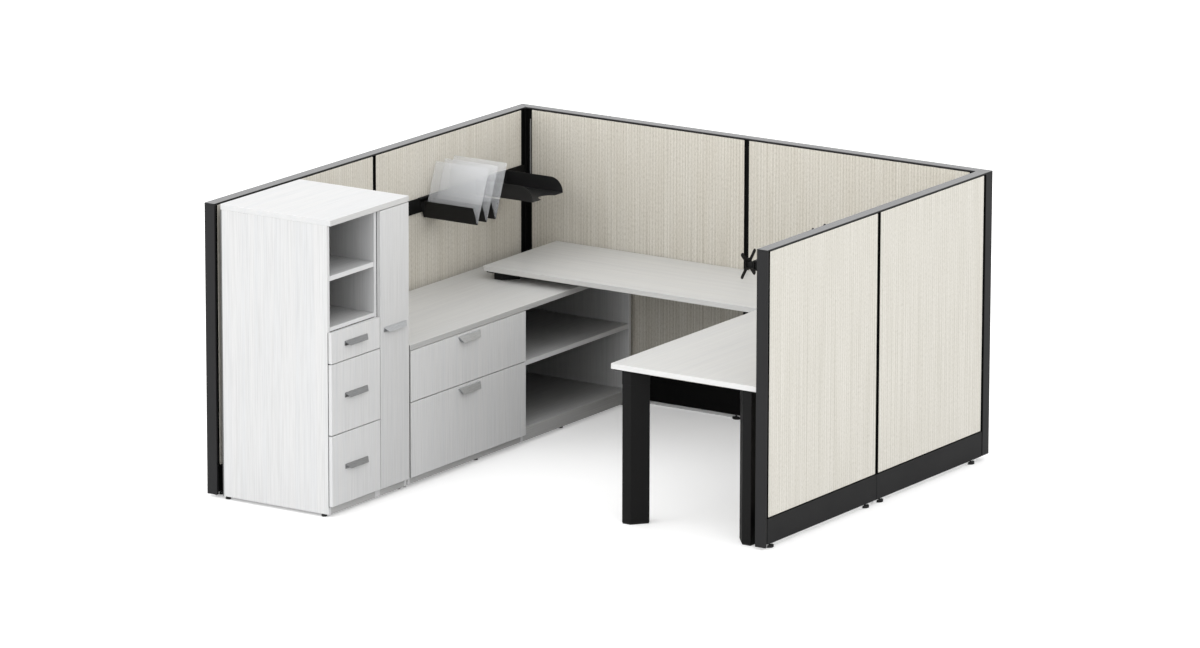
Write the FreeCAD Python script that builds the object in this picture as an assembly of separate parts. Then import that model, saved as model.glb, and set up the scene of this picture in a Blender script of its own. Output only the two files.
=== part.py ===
import FreeCAD, Part
import math
import os
from FreeCAD import Vector

# Cubicle workstation: three panel walls on two corner posts, a storage tower,
# a credenza, a bridge and a return worksurface, a wall rail with a sorter and
# a tray, and a dual monitor arm. Millimetres, Z up. Inside the functions, X
# runs right from the left wing's outer face, Y runs forward as negative from
# the back wall's outer face, and Z is height over the floor.

# Panel walls
wall_thickness = 54.0
panel_height = 1346.0
long_module = 1219.2
short_module = 914.4
modules_per_wall = 2
post_side = 58.0
post_wall = 3.0
seam = 5.0
trim_thickness = 12.0
trim_foot = 12.0
tube_wall = 2.0
tile_thickness = 12.0
tile_inset = 12.5
tile_corner_inset = 26.0
reveal = 4.0
cap_height = 14.0
cap_wall = 3.0
frame_foot = 27.0
cover_foot = 25.0
cover_top = 141.0
cover_wall = 1.5
cover_inset = 1.0
glide_inset = 60.0
glide_radius = 22.0
glide_height = 8.0
stem_radius = 6.0

# Both cabinets
board = 18.0
thin_board = 6.0
wall_gap = 38.0
carcass_depth = 578.0
front_thickness = 18.0
front_gap = 0.8
front_reveal = 3.0
front_half_gap = 2.5
front_foot = 51.0
cabinet_foot = 21.0
kick_top = 48.0
shelf_setback = 2.0
foot_radius = 13.0
foot_inset = 26.0
foot_side_inset = 17.0
drawer_board = 12.0
drawer_floor = 8.0
drawer_depth = 520.0
runner_space = 12.7
runner_bar = 5.9
runner_height = 45.0
runner_member_height = 34.0
runner_length = 500.0
runner_lift = 30.0

# Storage tower
tower_proud = 6.0
tower_width = 602.0
drawer_column = 375.0
tower_height = 1352.0
tower_top_thickness = 26.0
shelf_thickness = 22.0
fixed_shelf_z = 846.0
loose_shelf_z = 1073.0
rod_radius = 12.5
rod_drop = 60.0
upper_front_height = 142.0
upper_box_share = 0.67
deep_box_share = 0.775
box_lift = 22.0
hinge_cup_radius = 17.5
hinge_cup_depth = 12.0
hinge_cup_inset = 22.5
hinge_plate_length = 58.0
hinge_plate_width = 12.0
hinge_plate_height = 40.0
hinge_end_margin = 110.0
hinge_count = 3

# Credenza
cabinet_gap = 8.0
credenza_wall_gap = 31.4
file_column = 922.0
credenza_height = 665.0
credenza_top_thickness = 25.0
credenza_floor_top = 80.0
credenza_shelf_share = 0.56
file_upper_height = 236.5
file_upper_box_share = 0.635
file_lower_box_share = 0.72
file_box_lift = 36.0

# Pulls
pull_length = 170.0
pull_lip_length = 106.0
pull_drop = 28.0
pull_reach = 20.0
pull_metal = 2.0
pull_plate_height = 32.0
pull_edge_drop = 12.0

# Worksurfaces and their legs
short_leg_height = 36.0
surface_thickness = 25.0
surface_gap = 4.0
return_width = 762.0
return_length = 1828.8
bridge_depth = 609.6
bridge_wall_gap = 178.4
corner_ease = 4.0
leg_flat = 45.0
leg_reach_x = 56.0
leg_reach_y = 68.0
leg_wall = 2.5
leg_side_inset = 45.0
leg_end_inset = 18.0
short_leg_inset = 33.0
leg_sleeve_height = 62.0
leg_sleeve_lap = 3.0
leg_plate = 5.0
leg_plate_margin = 34.0
leg_plate_front = 12.0
leg_foot_height = 6.0
leg_foot_inset = 1.0

# Brackets and ties
bracket_metal = 3.0
bracket_width = 60.0
bracket_reach = 96.0
bracket_drop = 58.0
bracket_end_margin = 240.0
tie_plate_length = 200.0
tie_plate_width = 80.0
tie_plate_margin = 90.0
spacer_radius = 12.0
spacer_end_margin = 70.0

# Accessory rail, sorter and tray
rail_bottom = 1008.0
rail_height = 66.0
rail_depth = 12.0
rail_metal = 3.0
rail_web_drop = 24.0
rail_corner_gap = 78.0
rail_joint_gap = 8.0
hook_clearance = 0.5
hook_metal = 2.5
hook_drop = 14.0
hook_side_gap = 2.0
trough_pitch = 73.5
trough_count = 3
trough_near_y = -944.0
trough_top = 1069.0
trough_bottom = 981.0
trough_reach = 365.0
trough_metal = 2.0
trough_fold = 7.0
trough_cut = 46.0
trough_cut_drop = 84.0
trough_band = 12.0
sheet_thickness = 2.0
sheet_top = 1228.0
sheet_gap = 1.0
tray_far_y = -231.0
tray_width = 250.0
tray_reach = 384.0
tray_floor_z = 1008.5
tray_wall_height = 69.5
tray_curve_start = 74.0
tray_curve_side = 18.0
tray_curve_drop = 22.0
tray_metal = 2.0
notch_width = 126.0
notch_depth = 44.0

# Dual monitor arm
arm_edge_gap = 81.4
arm_back_gap = 976.0
arm_rise = 386.0
head_pitch = 586.0
head_reach = 259.0
link_length = 225.0
link_height = 32.0
link_radius = 24.0
arm_clearance = 0.3
turning_clearance = 0.05
base_radius = 55.0
base_thickness = 10.0
pole_radius = 17.5
pole_top_margin = 20.0
ring_radius = 26.0
ring_height = 14.0
bolt_radius = 5.0
bolt_hole_radius = 6.0
washer_radius = 38.0
washer_thickness = 4.0
nut_radius = 14.0
nut_height = 16.0
pin_radius = 8.0
knuckle_plate = 6.0
knuckle_half_width = 15.0
knuckle_web = 6.0
lug_width = 20.0
lug_length = 26.0
lug_height = 24.0
tilt_pin_radius = 5.0
ear_thickness = 5.0
ear_gap = 0.3
head_plate = 3.0
head_plate_gap = 6.0
head_hub_radius = 28.0
head_arm_width = 19.0
hole_pitch = 100.0
small_hole_pitch = 75.0
hole_radius = 2.25

# One overrun serves every cut
overrun = 1.0

# Sizes that follow from the ones above
wall_start = post_side + seam
long_run = modules_per_wall * long_module
room_width = long_run + wall_start + wall_start
left_length = wall_start + long_run + trim_thickness
cap_bottom = panel_height - cap_height
frame_top = panel_height - cap_wall
frame_depth = wall_thickness - tile_thickness - tile_thickness
cabinet_back_x = wall_thickness + wall_gap
carcass_front_x = cabinet_back_x + carcass_depth
front_back_x = carcass_front_x + front_gap
face_x = front_back_x + front_thickness
tower_near = -(left_length + tower_proud)
column_line = tower_near + drawer_column
tower_far = tower_near + tower_width
room_depth = -tower_near
credenza_near = tower_far + cabinet_gap
credenza_far = -(wall_thickness + credenza_wall_gap)
file_line = credenza_near + file_column
surface_under = credenza_height + short_leg_height
surface_height = surface_under + surface_thickness
surface_back_y = -(wall_thickness + surface_gap)
return_right_x = room_width - wall_thickness - surface_gap
return_left_x = return_right_x - return_width
return_front_y = surface_back_y - return_length
bridge_left_x = wall_thickness + bridge_wall_gap
bridge_front_y = surface_back_y - bridge_depth
arm_x = return_right_x - arm_edge_gap
arm_y = surface_back_y - arm_back_gap
arm_level = surface_height + arm_rise
wrist_x = arm_x - head_reach
credenza_bay_height = credenza_height - credenza_top_thickness - credenza_floor_top
credenza_shelf_z = credenza_floor_top + credenza_bay_height * credenza_shelf_share


def block(x0, x1, y0, y1, z0, z1):
    """A box between two opposite corners, given in any order."""
    low = Vector(min(x0, x1), min(y0, y1), min(z0, z1))
    return Part.makeBox(abs(x1 - x0), abs(y1 - y0), abs(z1 - z0), low)


def prism(points, travel):
    """A closed outline of points, pushed along a vector."""
    wire = Part.makePolygon(points + [points[0]])
    return Part.Face(wire).extrude(travel)


def rod(start, direction, radius, length):
    """A round bar."""
    return Part.makeCylinder(radius, length, start, direction)


def hollow(outer, inner):
    """The outer shape with the inner one taken out."""
    return outer.cut(inner)


def one_solid(pieces):
    """Several touching shapes joined into one clean solid."""
    body = pieces[0].fuse(pieces[1:]) if len(pieces) > 1 else pieces[0]
    return body.removeSplitter().Solids[0]


class Wall:
    """A straight run of panel modules that starts at a corner post."""

    def __init__(self, corner, along, inward, module, trimmed):
        self.corner = corner
        self.along = along
        self.inward = inward
        self.module = module
        self.trimmed = trimmed
        self.run_end = wall_start + modules_per_wall * module

    def block(self, a0, a1, d0, d1, z0, z1):
        """A box by distance along the wall, depth from its outer face, height."""
        p = self.corner + self.along * a0 + self.inward * d0
        q = self.corner + self.along * a1 + self.inward * d1
        return block(p.x, q.x, p.y, q.y, z0, z1)

    def point(self, a, d, z):
        """A point by distance along the wall, depth and height."""
        return self.corner + self.along * a + self.inward * d + Vector(0, 0, z)

    def modules(self):
        """The start and end of each module."""
        starts = [wall_start + i * self.module for i in range(modules_per_wall)]
        return [(a, a + self.module) for a in starts]


BACK = Wall(Vector(0, 0, 0), Vector(1, 0, 0), Vector(0, -1, 0), long_module, False)
LEFT = Wall(Vector(0, 0, 0), Vector(0, -1, 0), Vector(1, 0, 0), long_module, True)
RIGHT = Wall(Vector(room_width, 0, 0), Vector(0, -1, 0), Vector(-1, 0, 0), short_module, True)
WALLS = [BACK, LEFT, RIGHT]


def upright(wall, a0):
    """A square upright tube of a module frame."""
    a1 = a0 + frame_depth
    d0, d1 = tile_thickness, tile_thickness + frame_depth
    w = tube_wall
    outer = wall.block(a0, a1, d0, d1, frame_foot, frame_top)
    inner = wall.block(a0 + w, a1 - w, d0 + w, d1 - w, frame_foot - overrun, frame_top + overrun)
    return hollow(outer, inner)


def frame_rail(wall, a0, a1, z0):
    """A level tube between the two uprights of a module."""
    d0, d1 = tile_thickness, tile_thickness + frame_depth
    z1 = z0 + frame_depth
    w = tube_wall
    outer = wall.block(a0, a1, d0, d1, z0, z1)
    inner = wall.block(a0 - overrun, a1 + overrun, d0 + w, d1 - w, z0 + w, z1 - w)
    return hollow(outer, inner)


def wall_frames(wall):
    """Two uprights and three rails for each module of a wall."""
    solids = []
    for a0, a1 in wall.modules():
        solids += [upright(wall, a0), upright(wall, a1 - frame_depth)]
        for z0 in (frame_foot, cover_top - frame_depth, frame_top - frame_depth):
            solids.append(frame_rail(wall, a0 + frame_depth, a1 - frame_depth, z0))
    return solids


def inner_tile_ends(wall):
    """The start and end of each inner tile: they stop short of the corner posts."""
    ends = [[a0 + tile_inset, a1 - tile_inset] for a0, a1 in wall.modules()]
    ends[0][0] = wall_start + tile_corner_inset
    if not wall.trimmed:
        ends[-1][1] = wall.run_end - tile_corner_inset
    return ends


def wall_tiles(wall):
    """An outer and an inner tile for each module."""
    solids = []
    z0, z1 = cover_top + reveal, cap_bottom - reveal
    for a0, a1 in wall.modules():
        solids.append(wall.block(a0 + tile_inset, a1 - tile_inset, 0, tile_thickness, z0, z1))
    for a0, a1 in inner_tile_ends(wall):
        solids.append(wall.block(a0, a1, wall_thickness - tile_thickness, wall_thickness, z0, z1))
    return solids


def raceway_cover(wall, a0, a1, outside):
    """A shallow channel that closes the raceway on one side."""
    face = 0 if outside else wall_thickness
    way = 1 if outside else -1
    back = face + way * tile_thickness
    skin = face + way * cover_wall
    channel = wall.block(a0, a1, face, back, cover_foot, cover_top)
    inside = wall.block(a0 - overrun, a1 + overrun, skin, back + way * overrun,
                        cover_foot + cover_wall, cover_top - cover_wall)
    return hollow(channel, inside)


def panel_raceway_covers():
    """An outer and an inner raceway cover for each module."""
    solids = []
    for wall in WALLS:
        for a0, a1 in wall.modules():
            for outside in (True, False):
                solids.append(raceway_cover(wall, a0 + cover_inset, a1 - cover_inset, outside))
    return solids


def wall_cap(wall):
    """A top cap along one wall, closed at its free end."""
    end = wall.run_end + (trim_thickness if wall.trimmed else seam)
    inner_end = end - cap_wall if wall.trimmed else end + overrun
    outer = wall.block(post_side, end, 0, wall_thickness, cap_bottom, panel_height)
    inner = wall.block(post_side - overrun, inner_end, cap_wall, wall_thickness - cap_wall,
                       cap_bottom - overrun, panel_height - cap_wall)
    return hollow(outer, inner)


def corner_x():
    """The left edge of each corner post."""
    return (0, room_width - post_side)


def corner_cap(x0):
    """A square cap over a corner post."""
    w = cap_wall
    outer = block(x0, x0 + post_side, -post_side, 0, cap_bottom, panel_height)
    inner = block(x0 + w, x0 + post_side - w, w - post_side, -w, cap_bottom - overrun, panel_height - w)
    return hollow(outer, inner)


def panel_top_caps():
    """The caps of the three walls and the two corners."""
    return [wall_cap(wall) for wall in WALLS] + [corner_cap(x0) for x0 in corner_x()]


def corner_post(x0):
    """A square corner post tube."""
    w = post_wall
    outer = block(x0, x0 + post_side, -post_side, 0, cover_foot, cap_bottom)
    inner = block(x0 + w, x0 + post_side - w, w - post_side, -w, cover_foot - overrun, cap_bottom + overrun)
    return hollow(outer, inner)


def light_seal(wall, a0):
    """A strip that fills the seam beside a corner post."""
    d0, d1 = tile_thickness, tile_thickness + frame_depth
    return wall.block(a0, a0 + seam, d0, d1, frame_foot, cap_bottom)


def corner_posts():
    """Two posts, each with a seal toward each of its walls."""
    seals = [light_seal(wall, post_side) for wall in WALLS]
    seals.append(light_seal(BACK, BACK.run_end))
    return [corner_post(x0) for x0 in corner_x()] + seals


def end_trims():
    """The flat trims on the free ends of the wings."""
    solids = []
    for wall in (LEFT, RIGHT):
        end = wall.run_end
        solids.append(wall.block(end, end + trim_thickness, 0, wall_thickness, trim_foot, cap_bottom))
    return solids


def glide(foot, radius, stem_top):
    """A levelling glide: a stepped disc on the floor and a stem."""
    disc_height = glide_height / 2
    up = Vector(0, 0, 1)
    disc = rod(foot, up, radius, disc_height)
    step = Part.makeCone(radius, stem_radius, glide_height - disc_height, foot + up * disc_height, up)
    stem = rod(foot + up * glide_height, up, stem_radius, stem_top - glide_height)
    return one_solid([disc, step, stem])


def panel_glides():
    """Two glides under each module, on the wall's mid line."""
    solids = []
    for wall in WALLS:
        for a0, a1 in wall.modules():
            for a in (a0 + glide_inset, a1 - glide_inset):
                solids.append(glide(wall.point(a, wall_thickness / 2, 0), glide_radius, frame_foot))
    return solids


# Storage tower

def tower_upright_panels():
    """The two outer sides and the two boards between the columns."""
    x0 = cabinet_back_x + thin_board
    z1 = tower_height - tower_top_thickness
    starts = (tower_near, column_line - board, column_line, tower_far - board)
    return [block(x0, carcass_front_x, y, y + board, cabinet_foot, z1) for y in starts]


def tower_columns():
    """The clear space of each column across the tower."""
    return ((tower_near + board, column_line - board), (column_line + board, tower_far - board))


def tower_back():
    """The thin back board."""
    x1 = cabinet_back_x + thin_board
    z1 = tower_height - tower_top_thickness
    return [block(cabinet_back_x, x1, tower_near, tower_far, cabinet_foot, z1)]


def tower_base():
    """A bottom board in each column."""
    x0 = cabinet_back_x + thin_board
    return [block(x0, carcass_front_x, y0, y1, cabinet_foot, kick_top) for y0, y1 in tower_columns()]


def tower_top():
    """The top, level with the drawer faces."""
    z0 = tower_height - tower_top_thickness
    return [block(cabinet_back_x, face_x, tower_near, tower_far, z0, tower_height)]


def tower_shelves():
    """The fixed shelf over the drawers and the loose shelf in the bay."""
    x0 = cabinet_back_x + thin_board
    y0, y1 = tower_columns()[0]
    fixed = block(x0, carcass_front_x, y0, y1, fixed_shelf_z, fixed_shelf_z + board)
    loose = block(x0, carcass_front_x - shelf_setback, y0, y1, loose_shelf_z, loose_shelf_z + shelf_thickness)
    return [fixed, loose]


def tower_coat_rod():
    """The rod across the wardrobe."""
    y0, y1 = tower_columns()[1]
    z = tower_height - tower_top_thickness - rod_drop
    start = Vector(cabinet_back_x + carcass_depth / 2, y0, z)
    return [rod(start, Vector(0, 1, 0), rod_radius, y1 - y0)]


def drawer_front(y0, y1, z0, z1):
    """A drawer face."""
    return [block(front_back_x, face_x, y0, y1, z0, z1)]


def drawer_box(y0, y1, z0, z1):
    """Two sides, two ends and a floor, with the moving runner bars outside."""
    x1 = front_back_x
    x0 = x1 - drawer_depth
    w = drawer_board
    inner_y0, inner_y1 = y0 + w, y1 - w
    sides = [block(x0, x1, y0, inner_y0, z0, z1), block(x0, x1, inner_y1, y1, z0, z1)]
    ends = [block(x0, x0 + w, inner_y0, inner_y1, z0, z1), block(x1 - w, x1, inner_y0, inner_y1, z0, z1)]
    floor = block(x0 + w, x1 - w, inner_y0, inner_y1, z0, z0 + drawer_floor)
    zm = z0 + runner_lift + runner_height / 2
    half = runner_member_height / 2
    bars = [block(x0, x0 + runner_length, y0 - runner_bar, y0, zm - half, zm + half),
            block(x0, x0 + runner_length, y1, y1 + runner_bar, zm - half, zm + half)]
    return sides + ends + [floor] + bars


def cabinet_runners(y0, y1, z0):
    """The fixed runner bars on the two boards beside a drawer."""
    x0 = front_back_x - drawer_depth
    x1 = x0 + runner_length
    low = z0 + runner_lift
    return [block(x0, x1, y0, y0 + runner_bar, low, low + runner_height),
            block(x0, x1, y1 - runner_bar, y1, low, low + runner_height)]


def pull(y_mid, z_top):
    """A bent plate pull: a flat plate on the face and a hood over the fingers."""
    half, lip = pull_length / 2, pull_lip_length / 2
    x0, x1 = face_x, face_x + pull_metal
    plate = block(x0, x1, y_mid - half, y_mid + half, z_top - pull_plate_height, z_top)
    z_low = z_top - pull_drop
    tip = x1 + pull_reach
    outline = [Vector(x1, y_mid - half, z_top - pull_metal - pull_metal),
               Vector(x1, y_mid - half, z_top),
               Vector(x1 + pull_metal, y_mid - half, z_top),
               Vector(tip, y_mid - half, z_low),
               Vector(tip - pull_metal, y_mid - half, z_low)]
    bar = prism(outline, Vector(0, pull_length, 0))
    taper = prism([Vector(x1, y_mid - half, z_top), Vector(x1, y_mid + half, z_top),
                   Vector(x1, y_mid + lip, z_low), Vector(x1, y_mid - lip, z_low)],
                  Vector(pull_reach, 0, 0))
    return [plate, bar.common(taper).Solids[0]]


def tower_drawers():
    """Name, bottom and top of each tower drawer face, and the share its box takes of it."""
    top = fixed_shelf_z - shelf_setback
    upper_z0 = top - upper_front_height
    deep = (upper_z0 - front_foot - front_reveal - front_reveal) / 2
    middle_z1 = upper_z0 - front_reveal
    lower_z1 = middle_z1 - deep - front_reveal
    return [("tower_upper_drawer", upper_z0, top, upper_box_share),
            ("tower_middle_drawer", middle_z1 - deep, middle_z1, deep_box_share),
            ("tower_lower_drawer", front_foot, lower_z1, deep_box_share)]


def file_drawers():
    """Name, bottom and top of each file drawer face, and the share its box takes of it."""
    top = credenza_height - credenza_top_thickness - shelf_setback
    upper_z0 = top - file_upper_height
    return [("lateral_upper_drawer", upper_z0, top, file_upper_box_share),
            ("lateral_lower_drawer", front_foot, upper_z0 - front_reveal, file_lower_box_share)]


def file_space():
    """The clear space beside the file drawers."""
    return credenza_near + board, file_line - board


def drawer_set(name, face_y, space_y, z0, z1, share, lift, pull_top):
    """The front, box and pull nodes of one drawer."""
    y0, y1 = space_y[0] + runner_space, space_y[1] - runner_space
    return {name + "_front": drawer_front(face_y[0], face_y[1], z0, z1),
            name + "_box": drawer_box(y0, y1, z0 + lift, z0 + lift + (z1 - z0) * share),
            name + "_pull": pull((face_y[0] + face_y[1]) / 2, pull_top)}


def all_drawers():
    """Every drawer node."""
    nodes = {}
    face_y = (tower_near + front_reveal, column_line - front_half_gap)
    for name, z0, z1, share in tower_drawers():
        pull_top = (z0 + z1 + pull_plate_height) / 2
        nodes.update(drawer_set(name, face_y, tower_columns()[0], z0, z1, share, box_lift, pull_top))
    face_y = (credenza_near + front_reveal, file_line - front_reveal)
    for name, z0, z1, share in file_drawers():
        pull_top = z1 - pull_edge_drop
        nodes.update(drawer_set(name, face_y, file_space(), z0, z1, share, file_box_lift, pull_top))
    return nodes


def drawer_runners():
    """The fixed runner bars of the five drawers."""
    solids = []
    for _, z0, _, _ in tower_drawers():
        solids += cabinet_runners(*tower_columns()[0], z0 + box_lift)
    for _, z0, _, _ in file_drawers():
        solids += cabinet_runners(*file_space(), z0 + file_box_lift)
    return solids


def door_edges():
    """The near edge, far edge, bottom and top of the wardrobe door."""
    z1 = tower_height - tower_top_thickness - front_reveal
    return column_line + front_half_gap, tower_far - front_reveal, front_foot, z1


def hinge_heights():
    """The middle of each hinge."""
    _, _, z0, z1 = door_edges()
    first, last = z0 + hinge_end_margin, z1 - hinge_end_margin
    step = (last - first) / (hinge_count - 1)
    return [first + i * step for i in range(hinge_count)]


def hinge_cup(z):
    """A hinge cup, flush with the back of the door."""
    y1 = door_edges()[1]
    start = Vector(front_back_x, y1 - hinge_cup_inset, z)
    return rod(start, Vector(1, 0, 0), hinge_cup_radius, hinge_cup_depth)


def tower_door():
    """The wardrobe door with its cup bores."""
    y0, y1, z0, z1 = door_edges()
    door = block(front_back_x, face_x, y0, y1, z0, z1)
    for z in hinge_heights():
        door = door.cut(hinge_cup(z))
    return [door]


def door_hinge_cups():
    """The cups in the door."""
    return [hinge_cup(z) for z in hinge_heights()]


def door_hinge_plates():
    """The hinge arms on the inner face of the far side."""
    y1 = tower_columns()[1][1]
    solids = []
    for z in hinge_heights():
        half = hinge_plate_height / 2
        solids.append(block(carcass_front_x - hinge_plate_length, carcass_front_x,
                            y1 - hinge_plate_width, y1, z - half, z + half))
    return solids


def tower_door_pull():
    """The pull of the door, level with the upper drawer's pull."""
    y0, y1, _, _ = door_edges()
    _, z0, z1, _ = tower_drawers()[0]
    return pull((y0 + y1) / 2, (z0 + z1 + pull_plate_height) / 2)


# Credenza

def credenza_upright_panels():
    """The two ends and the board between the drawers and the open bay."""
    x0 = cabinet_back_x + thin_board
    z1 = credenza_height - credenza_top_thickness
    starts = (credenza_near, file_line - board, credenza_far - board)
    return [block(x0, carcass_front_x, y, y + board, cabinet_foot, z1) for y in starts]


def credenza_columns():
    """The clear space of the drawer column and of the open bay."""
    return (file_space(), (file_line, credenza_far - board))


def credenza_back():
    """The thin back board."""
    x1 = cabinet_back_x + thin_board
    z1 = credenza_height - credenza_top_thickness
    return [block(cabinet_back_x, x1, credenza_near, credenza_far, cabinet_foot, z1)]


def credenza_base():
    """A floor board and a kick board in each column."""
    x0 = cabinet_back_x + thin_board
    floor_z = credenza_floor_top - board
    solids = []
    for y0, y1 in credenza_columns():
        solids.append(block(x0, carcass_front_x, y0, y1, floor_z, credenza_floor_top))
        solids.append(block(carcass_front_x - board, carcass_front_x, y0, y1, cabinet_foot, floor_z))
    return solids


def credenza_top():
    """The top, level with the drawer faces."""
    z0 = credenza_height - credenza_top_thickness
    return [block(cabinet_back_x, face_x, credenza_near, credenza_far, z0, credenza_height)]


def credenza_shelf():
    """The shelf of the open bay."""
    x0 = cabinet_back_x + thin_board
    y0, y1 = credenza_columns()[1]
    z1 = credenza_shelf_z
    return [block(x0, carcass_front_x - shelf_setback, y0, y1, z1 - shelf_thickness, z1)]


def cabinet_glides():
    """Four glides under the tower and six under the credenza."""
    x_places = (cabinet_back_x + foot_inset, carcass_front_x - foot_inset)
    side = foot_side_inset
    y_places = (tower_near + side, tower_far - side, credenza_near + side, file_line - side, credenza_far - side)
    return [glide(Vector(x, y, 0), foot_radius, cabinet_foot) for x in x_places for y in y_places]


# Worksurfaces

def eased_slab(x0, x1, y0, y1):
    """A worksurface board with eased corners."""
    slab = block(x0, x1, y0, y1, surface_under, surface_height)
    upright_edges = [e for e in slab.Edges if e.Vertexes[0].Z != e.Vertexes[-1].Z]
    return slab.makeFillet(corner_ease, upright_edges)


def bridge_worksurface():
    """The worksurface along the back wall."""
    return [block(bridge_left_x, return_left_x, bridge_front_y, surface_back_y, surface_under, surface_height)]


def return_worksurface():
    """The worksurface beside the right wing, with the bolt hole of the arm."""
    slab = eased_slab(return_left_x, return_right_x, return_front_y, surface_back_y)
    hole_start = Vector(arm_x, arm_y, surface_under - overrun)
    hole = rod(hole_start, Vector(0, 0, 1), bolt_hole_radius, surface_thickness + overrun + overrun)
    return [slab.cut(hole)]


def leg_face(corner, way_x, way_y, z):
    """The five-sided section of a leg: a tube set across its corner."""
    f, rx, ry = leg_flat, leg_reach_x, leg_reach_y
    places = [(0, 0), (f, 0), (f + rx, ry), (rx, f + ry), (0, f)]
    points = [Vector(corner.x + way_x * a, corner.y + way_y * b, z) for a, b in places]
    return Part.Face(Part.makePolygon(points + [points[0]]))


def leg_tube(corner, way_x, way_y, z0, z1):
    """The hollow shaft of a leg."""
    face = leg_face(corner, way_x, way_y, z0)
    core = face.makeOffset2D(-leg_wall, 2).extrude(Vector(0, 0, z1 - z0))
    return hollow(face.extrude(Vector(0, 0, z1 - z0)), core)


def leg_top_plate(corner, way_x, way_y):
    """The plate that screws under the worksurface."""
    over = leg_flat + leg_plate_margin
    x0, x1 = corner.x - way_x * leg_plate_margin, corner.x + way_x * (leg_reach_x + over)
    y0, y1 = corner.y - way_y * leg_plate_front, corner.y + way_y * (leg_reach_y + over)
    return block(x0, x1, y0, y1, surface_under - leg_plate, surface_under)


def floor_leg(corner, way_x, way_y):
    """A leg down to the floor: foot, shaft, sleeve and top plate."""
    shaft_top = surface_under - leg_plate - leg_sleeve_height
    foot = leg_face(corner, way_x, way_y, 0).makeOffset2D(-leg_foot_inset, 2)
    sleeve = leg_face(corner, way_x, way_y, shaft_top).makeOffset2D(leg_sleeve_lap, 2)
    return [foot.extrude(Vector(0, 0, leg_foot_height)),
            leg_tube(corner, way_x, way_y, leg_foot_height, shaft_top),
            sleeve.extrude(Vector(0, 0, leg_sleeve_height)),
            leg_top_plate(corner, way_x, way_y)]


def short_leg(corner, way_x, way_y):
    """A leg of the same section that stands on the credenza."""
    return [leg_tube(corner, way_x, way_y, credenza_height, surface_under - leg_plate),
            leg_top_plate(corner, way_x, way_y)]


def worksurface_legs():
    """Two floor legs at the return's free end and two short legs at the bridge's."""
    solids = []
    y = return_front_y + leg_end_inset
    solids += floor_leg(Vector(return_left_x + leg_side_inset, y, 0), 1, 1)
    solids += floor_leg(Vector(return_right_x - leg_side_inset, y, 0), -1, 1)
    x = bridge_left_x + leg_side_inset
    solids += short_leg(Vector(x, bridge_front_y + short_leg_inset, 0), 1, 1)
    solids += short_leg(Vector(x, surface_back_y - short_leg_inset, 0), 1, -1)
    return solids


def wall_angle(wall, a):
    """A steel angle that carries a worksurface edge on a wall."""
    d = wall_thickness
    a0, a1 = a - bracket_width / 2, a + bracket_width / 2
    level = wall.block(a0, a1, d, d + bracket_reach, surface_under - bracket_metal, surface_under)
    leaf = wall.block(a0, a1, d, d + bracket_metal, surface_under - bracket_drop, surface_under)
    return one_solid([level, leaf])


def fixing_brackets():
    """Wall angles, tie plates under the joint and spacers between the cabinets."""
    solids = []
    joint = wall_start + long_module
    for a in (bridge_left_x + bracket_end_margin, joint, room_width - bracket_end_margin):
        solids.append(wall_angle(BACK, a))
    for a in (wall_start + bracket_end_margin, RIGHT.run_end - bracket_end_margin):
        solids.append(wall_angle(RIGHT, a))
    half = tie_plate_length / 2
    near = bridge_front_y + tie_plate_margin
    far = surface_back_y - tie_plate_margin - tie_plate_width
    for y in (near, far - tie_plate_margin):
        solids.append(block(return_left_x - half, return_left_x + half, y, y + tie_plate_width,
                            surface_under - bracket_metal, surface_under))
    top = credenza_height - credenza_top_thickness - spacer_end_margin
    for x in (cabinet_back_x + spacer_end_margin, carcass_front_x - spacer_end_margin):
        for z in (cabinet_foot + spacer_end_margin, top):
            solids.append(rod(Vector(x, tower_far, z), Vector(0, 1, 0), spacer_radius, cabinet_gap))
    return solids


# Rail, sorter and tray

def rail_span():
    """The two ends of the rail along the left wing."""
    return -(wall_start + long_module - rail_joint_gap), -rail_corner_gap


def accessory_rail():
    """A wall rail with a groove along its top for the hooks."""
    y0, y1 = rail_span()
    x0, x1 = wall_thickness, wall_thickness + rail_depth
    z0, z1 = rail_bottom, rail_bottom + rail_height
    m = rail_metal
    body = block(x0, x1, y0, y1, z0, z1)
    groove = block(x0 + m, x1 - m, y0 - overrun, y1 + overrun, z1 - rail_web_drop + m, z1 + overrun)
    recess = block(x0 + m, x1 - m, y0 - overrun, y1 + overrun, z0 - overrun, z1 - rail_web_drop)
    return [body.cut(groove).cut(recess)]


def hanger(y0, y1, z_low):
    """A plate in front of the rail with a hook over its front leaf."""
    front = wall_thickness + rail_depth + hook_clearance
    back = wall_thickness + rail_metal + hook_side_gap
    top = rail_bottom + rail_height + hook_clearance
    m = hook_metal
    plate = block(front, front + m, y0, y1, z_low, top + m)
    strap = block(back, front + m, y0, y1, top, top + m)
    turn = block(back, back + m, y0, y1, top - hook_drop, top + m)
    return one_solid([plate, strap, turn])


def hanger_front():
    """The front face of a hanger plate."""
    return wall_thickness + rail_depth + hook_clearance + hook_metal


def leaning_plate(x0, x1, low_y, high_y, low_z, high_z, thickness):
    """A plate along X whose section leans from one Y to another."""
    outline = [Vector(x0, low_y, low_z), Vector(x0, low_y + thickness, low_z),
               Vector(x0, high_y + thickness, high_z), Vector(x0, high_y, high_z)]
    return prism(outline, Vector(x1 - x0, 0, 0))


def trough_lines():
    """The near top, bottom and far top of each trough."""
    half = trough_pitch / 2
    starts = [trough_near_y + i * trough_pitch for i in range(trough_count)]
    return [(y, y + half, y + trough_pitch) for y in starts]


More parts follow.
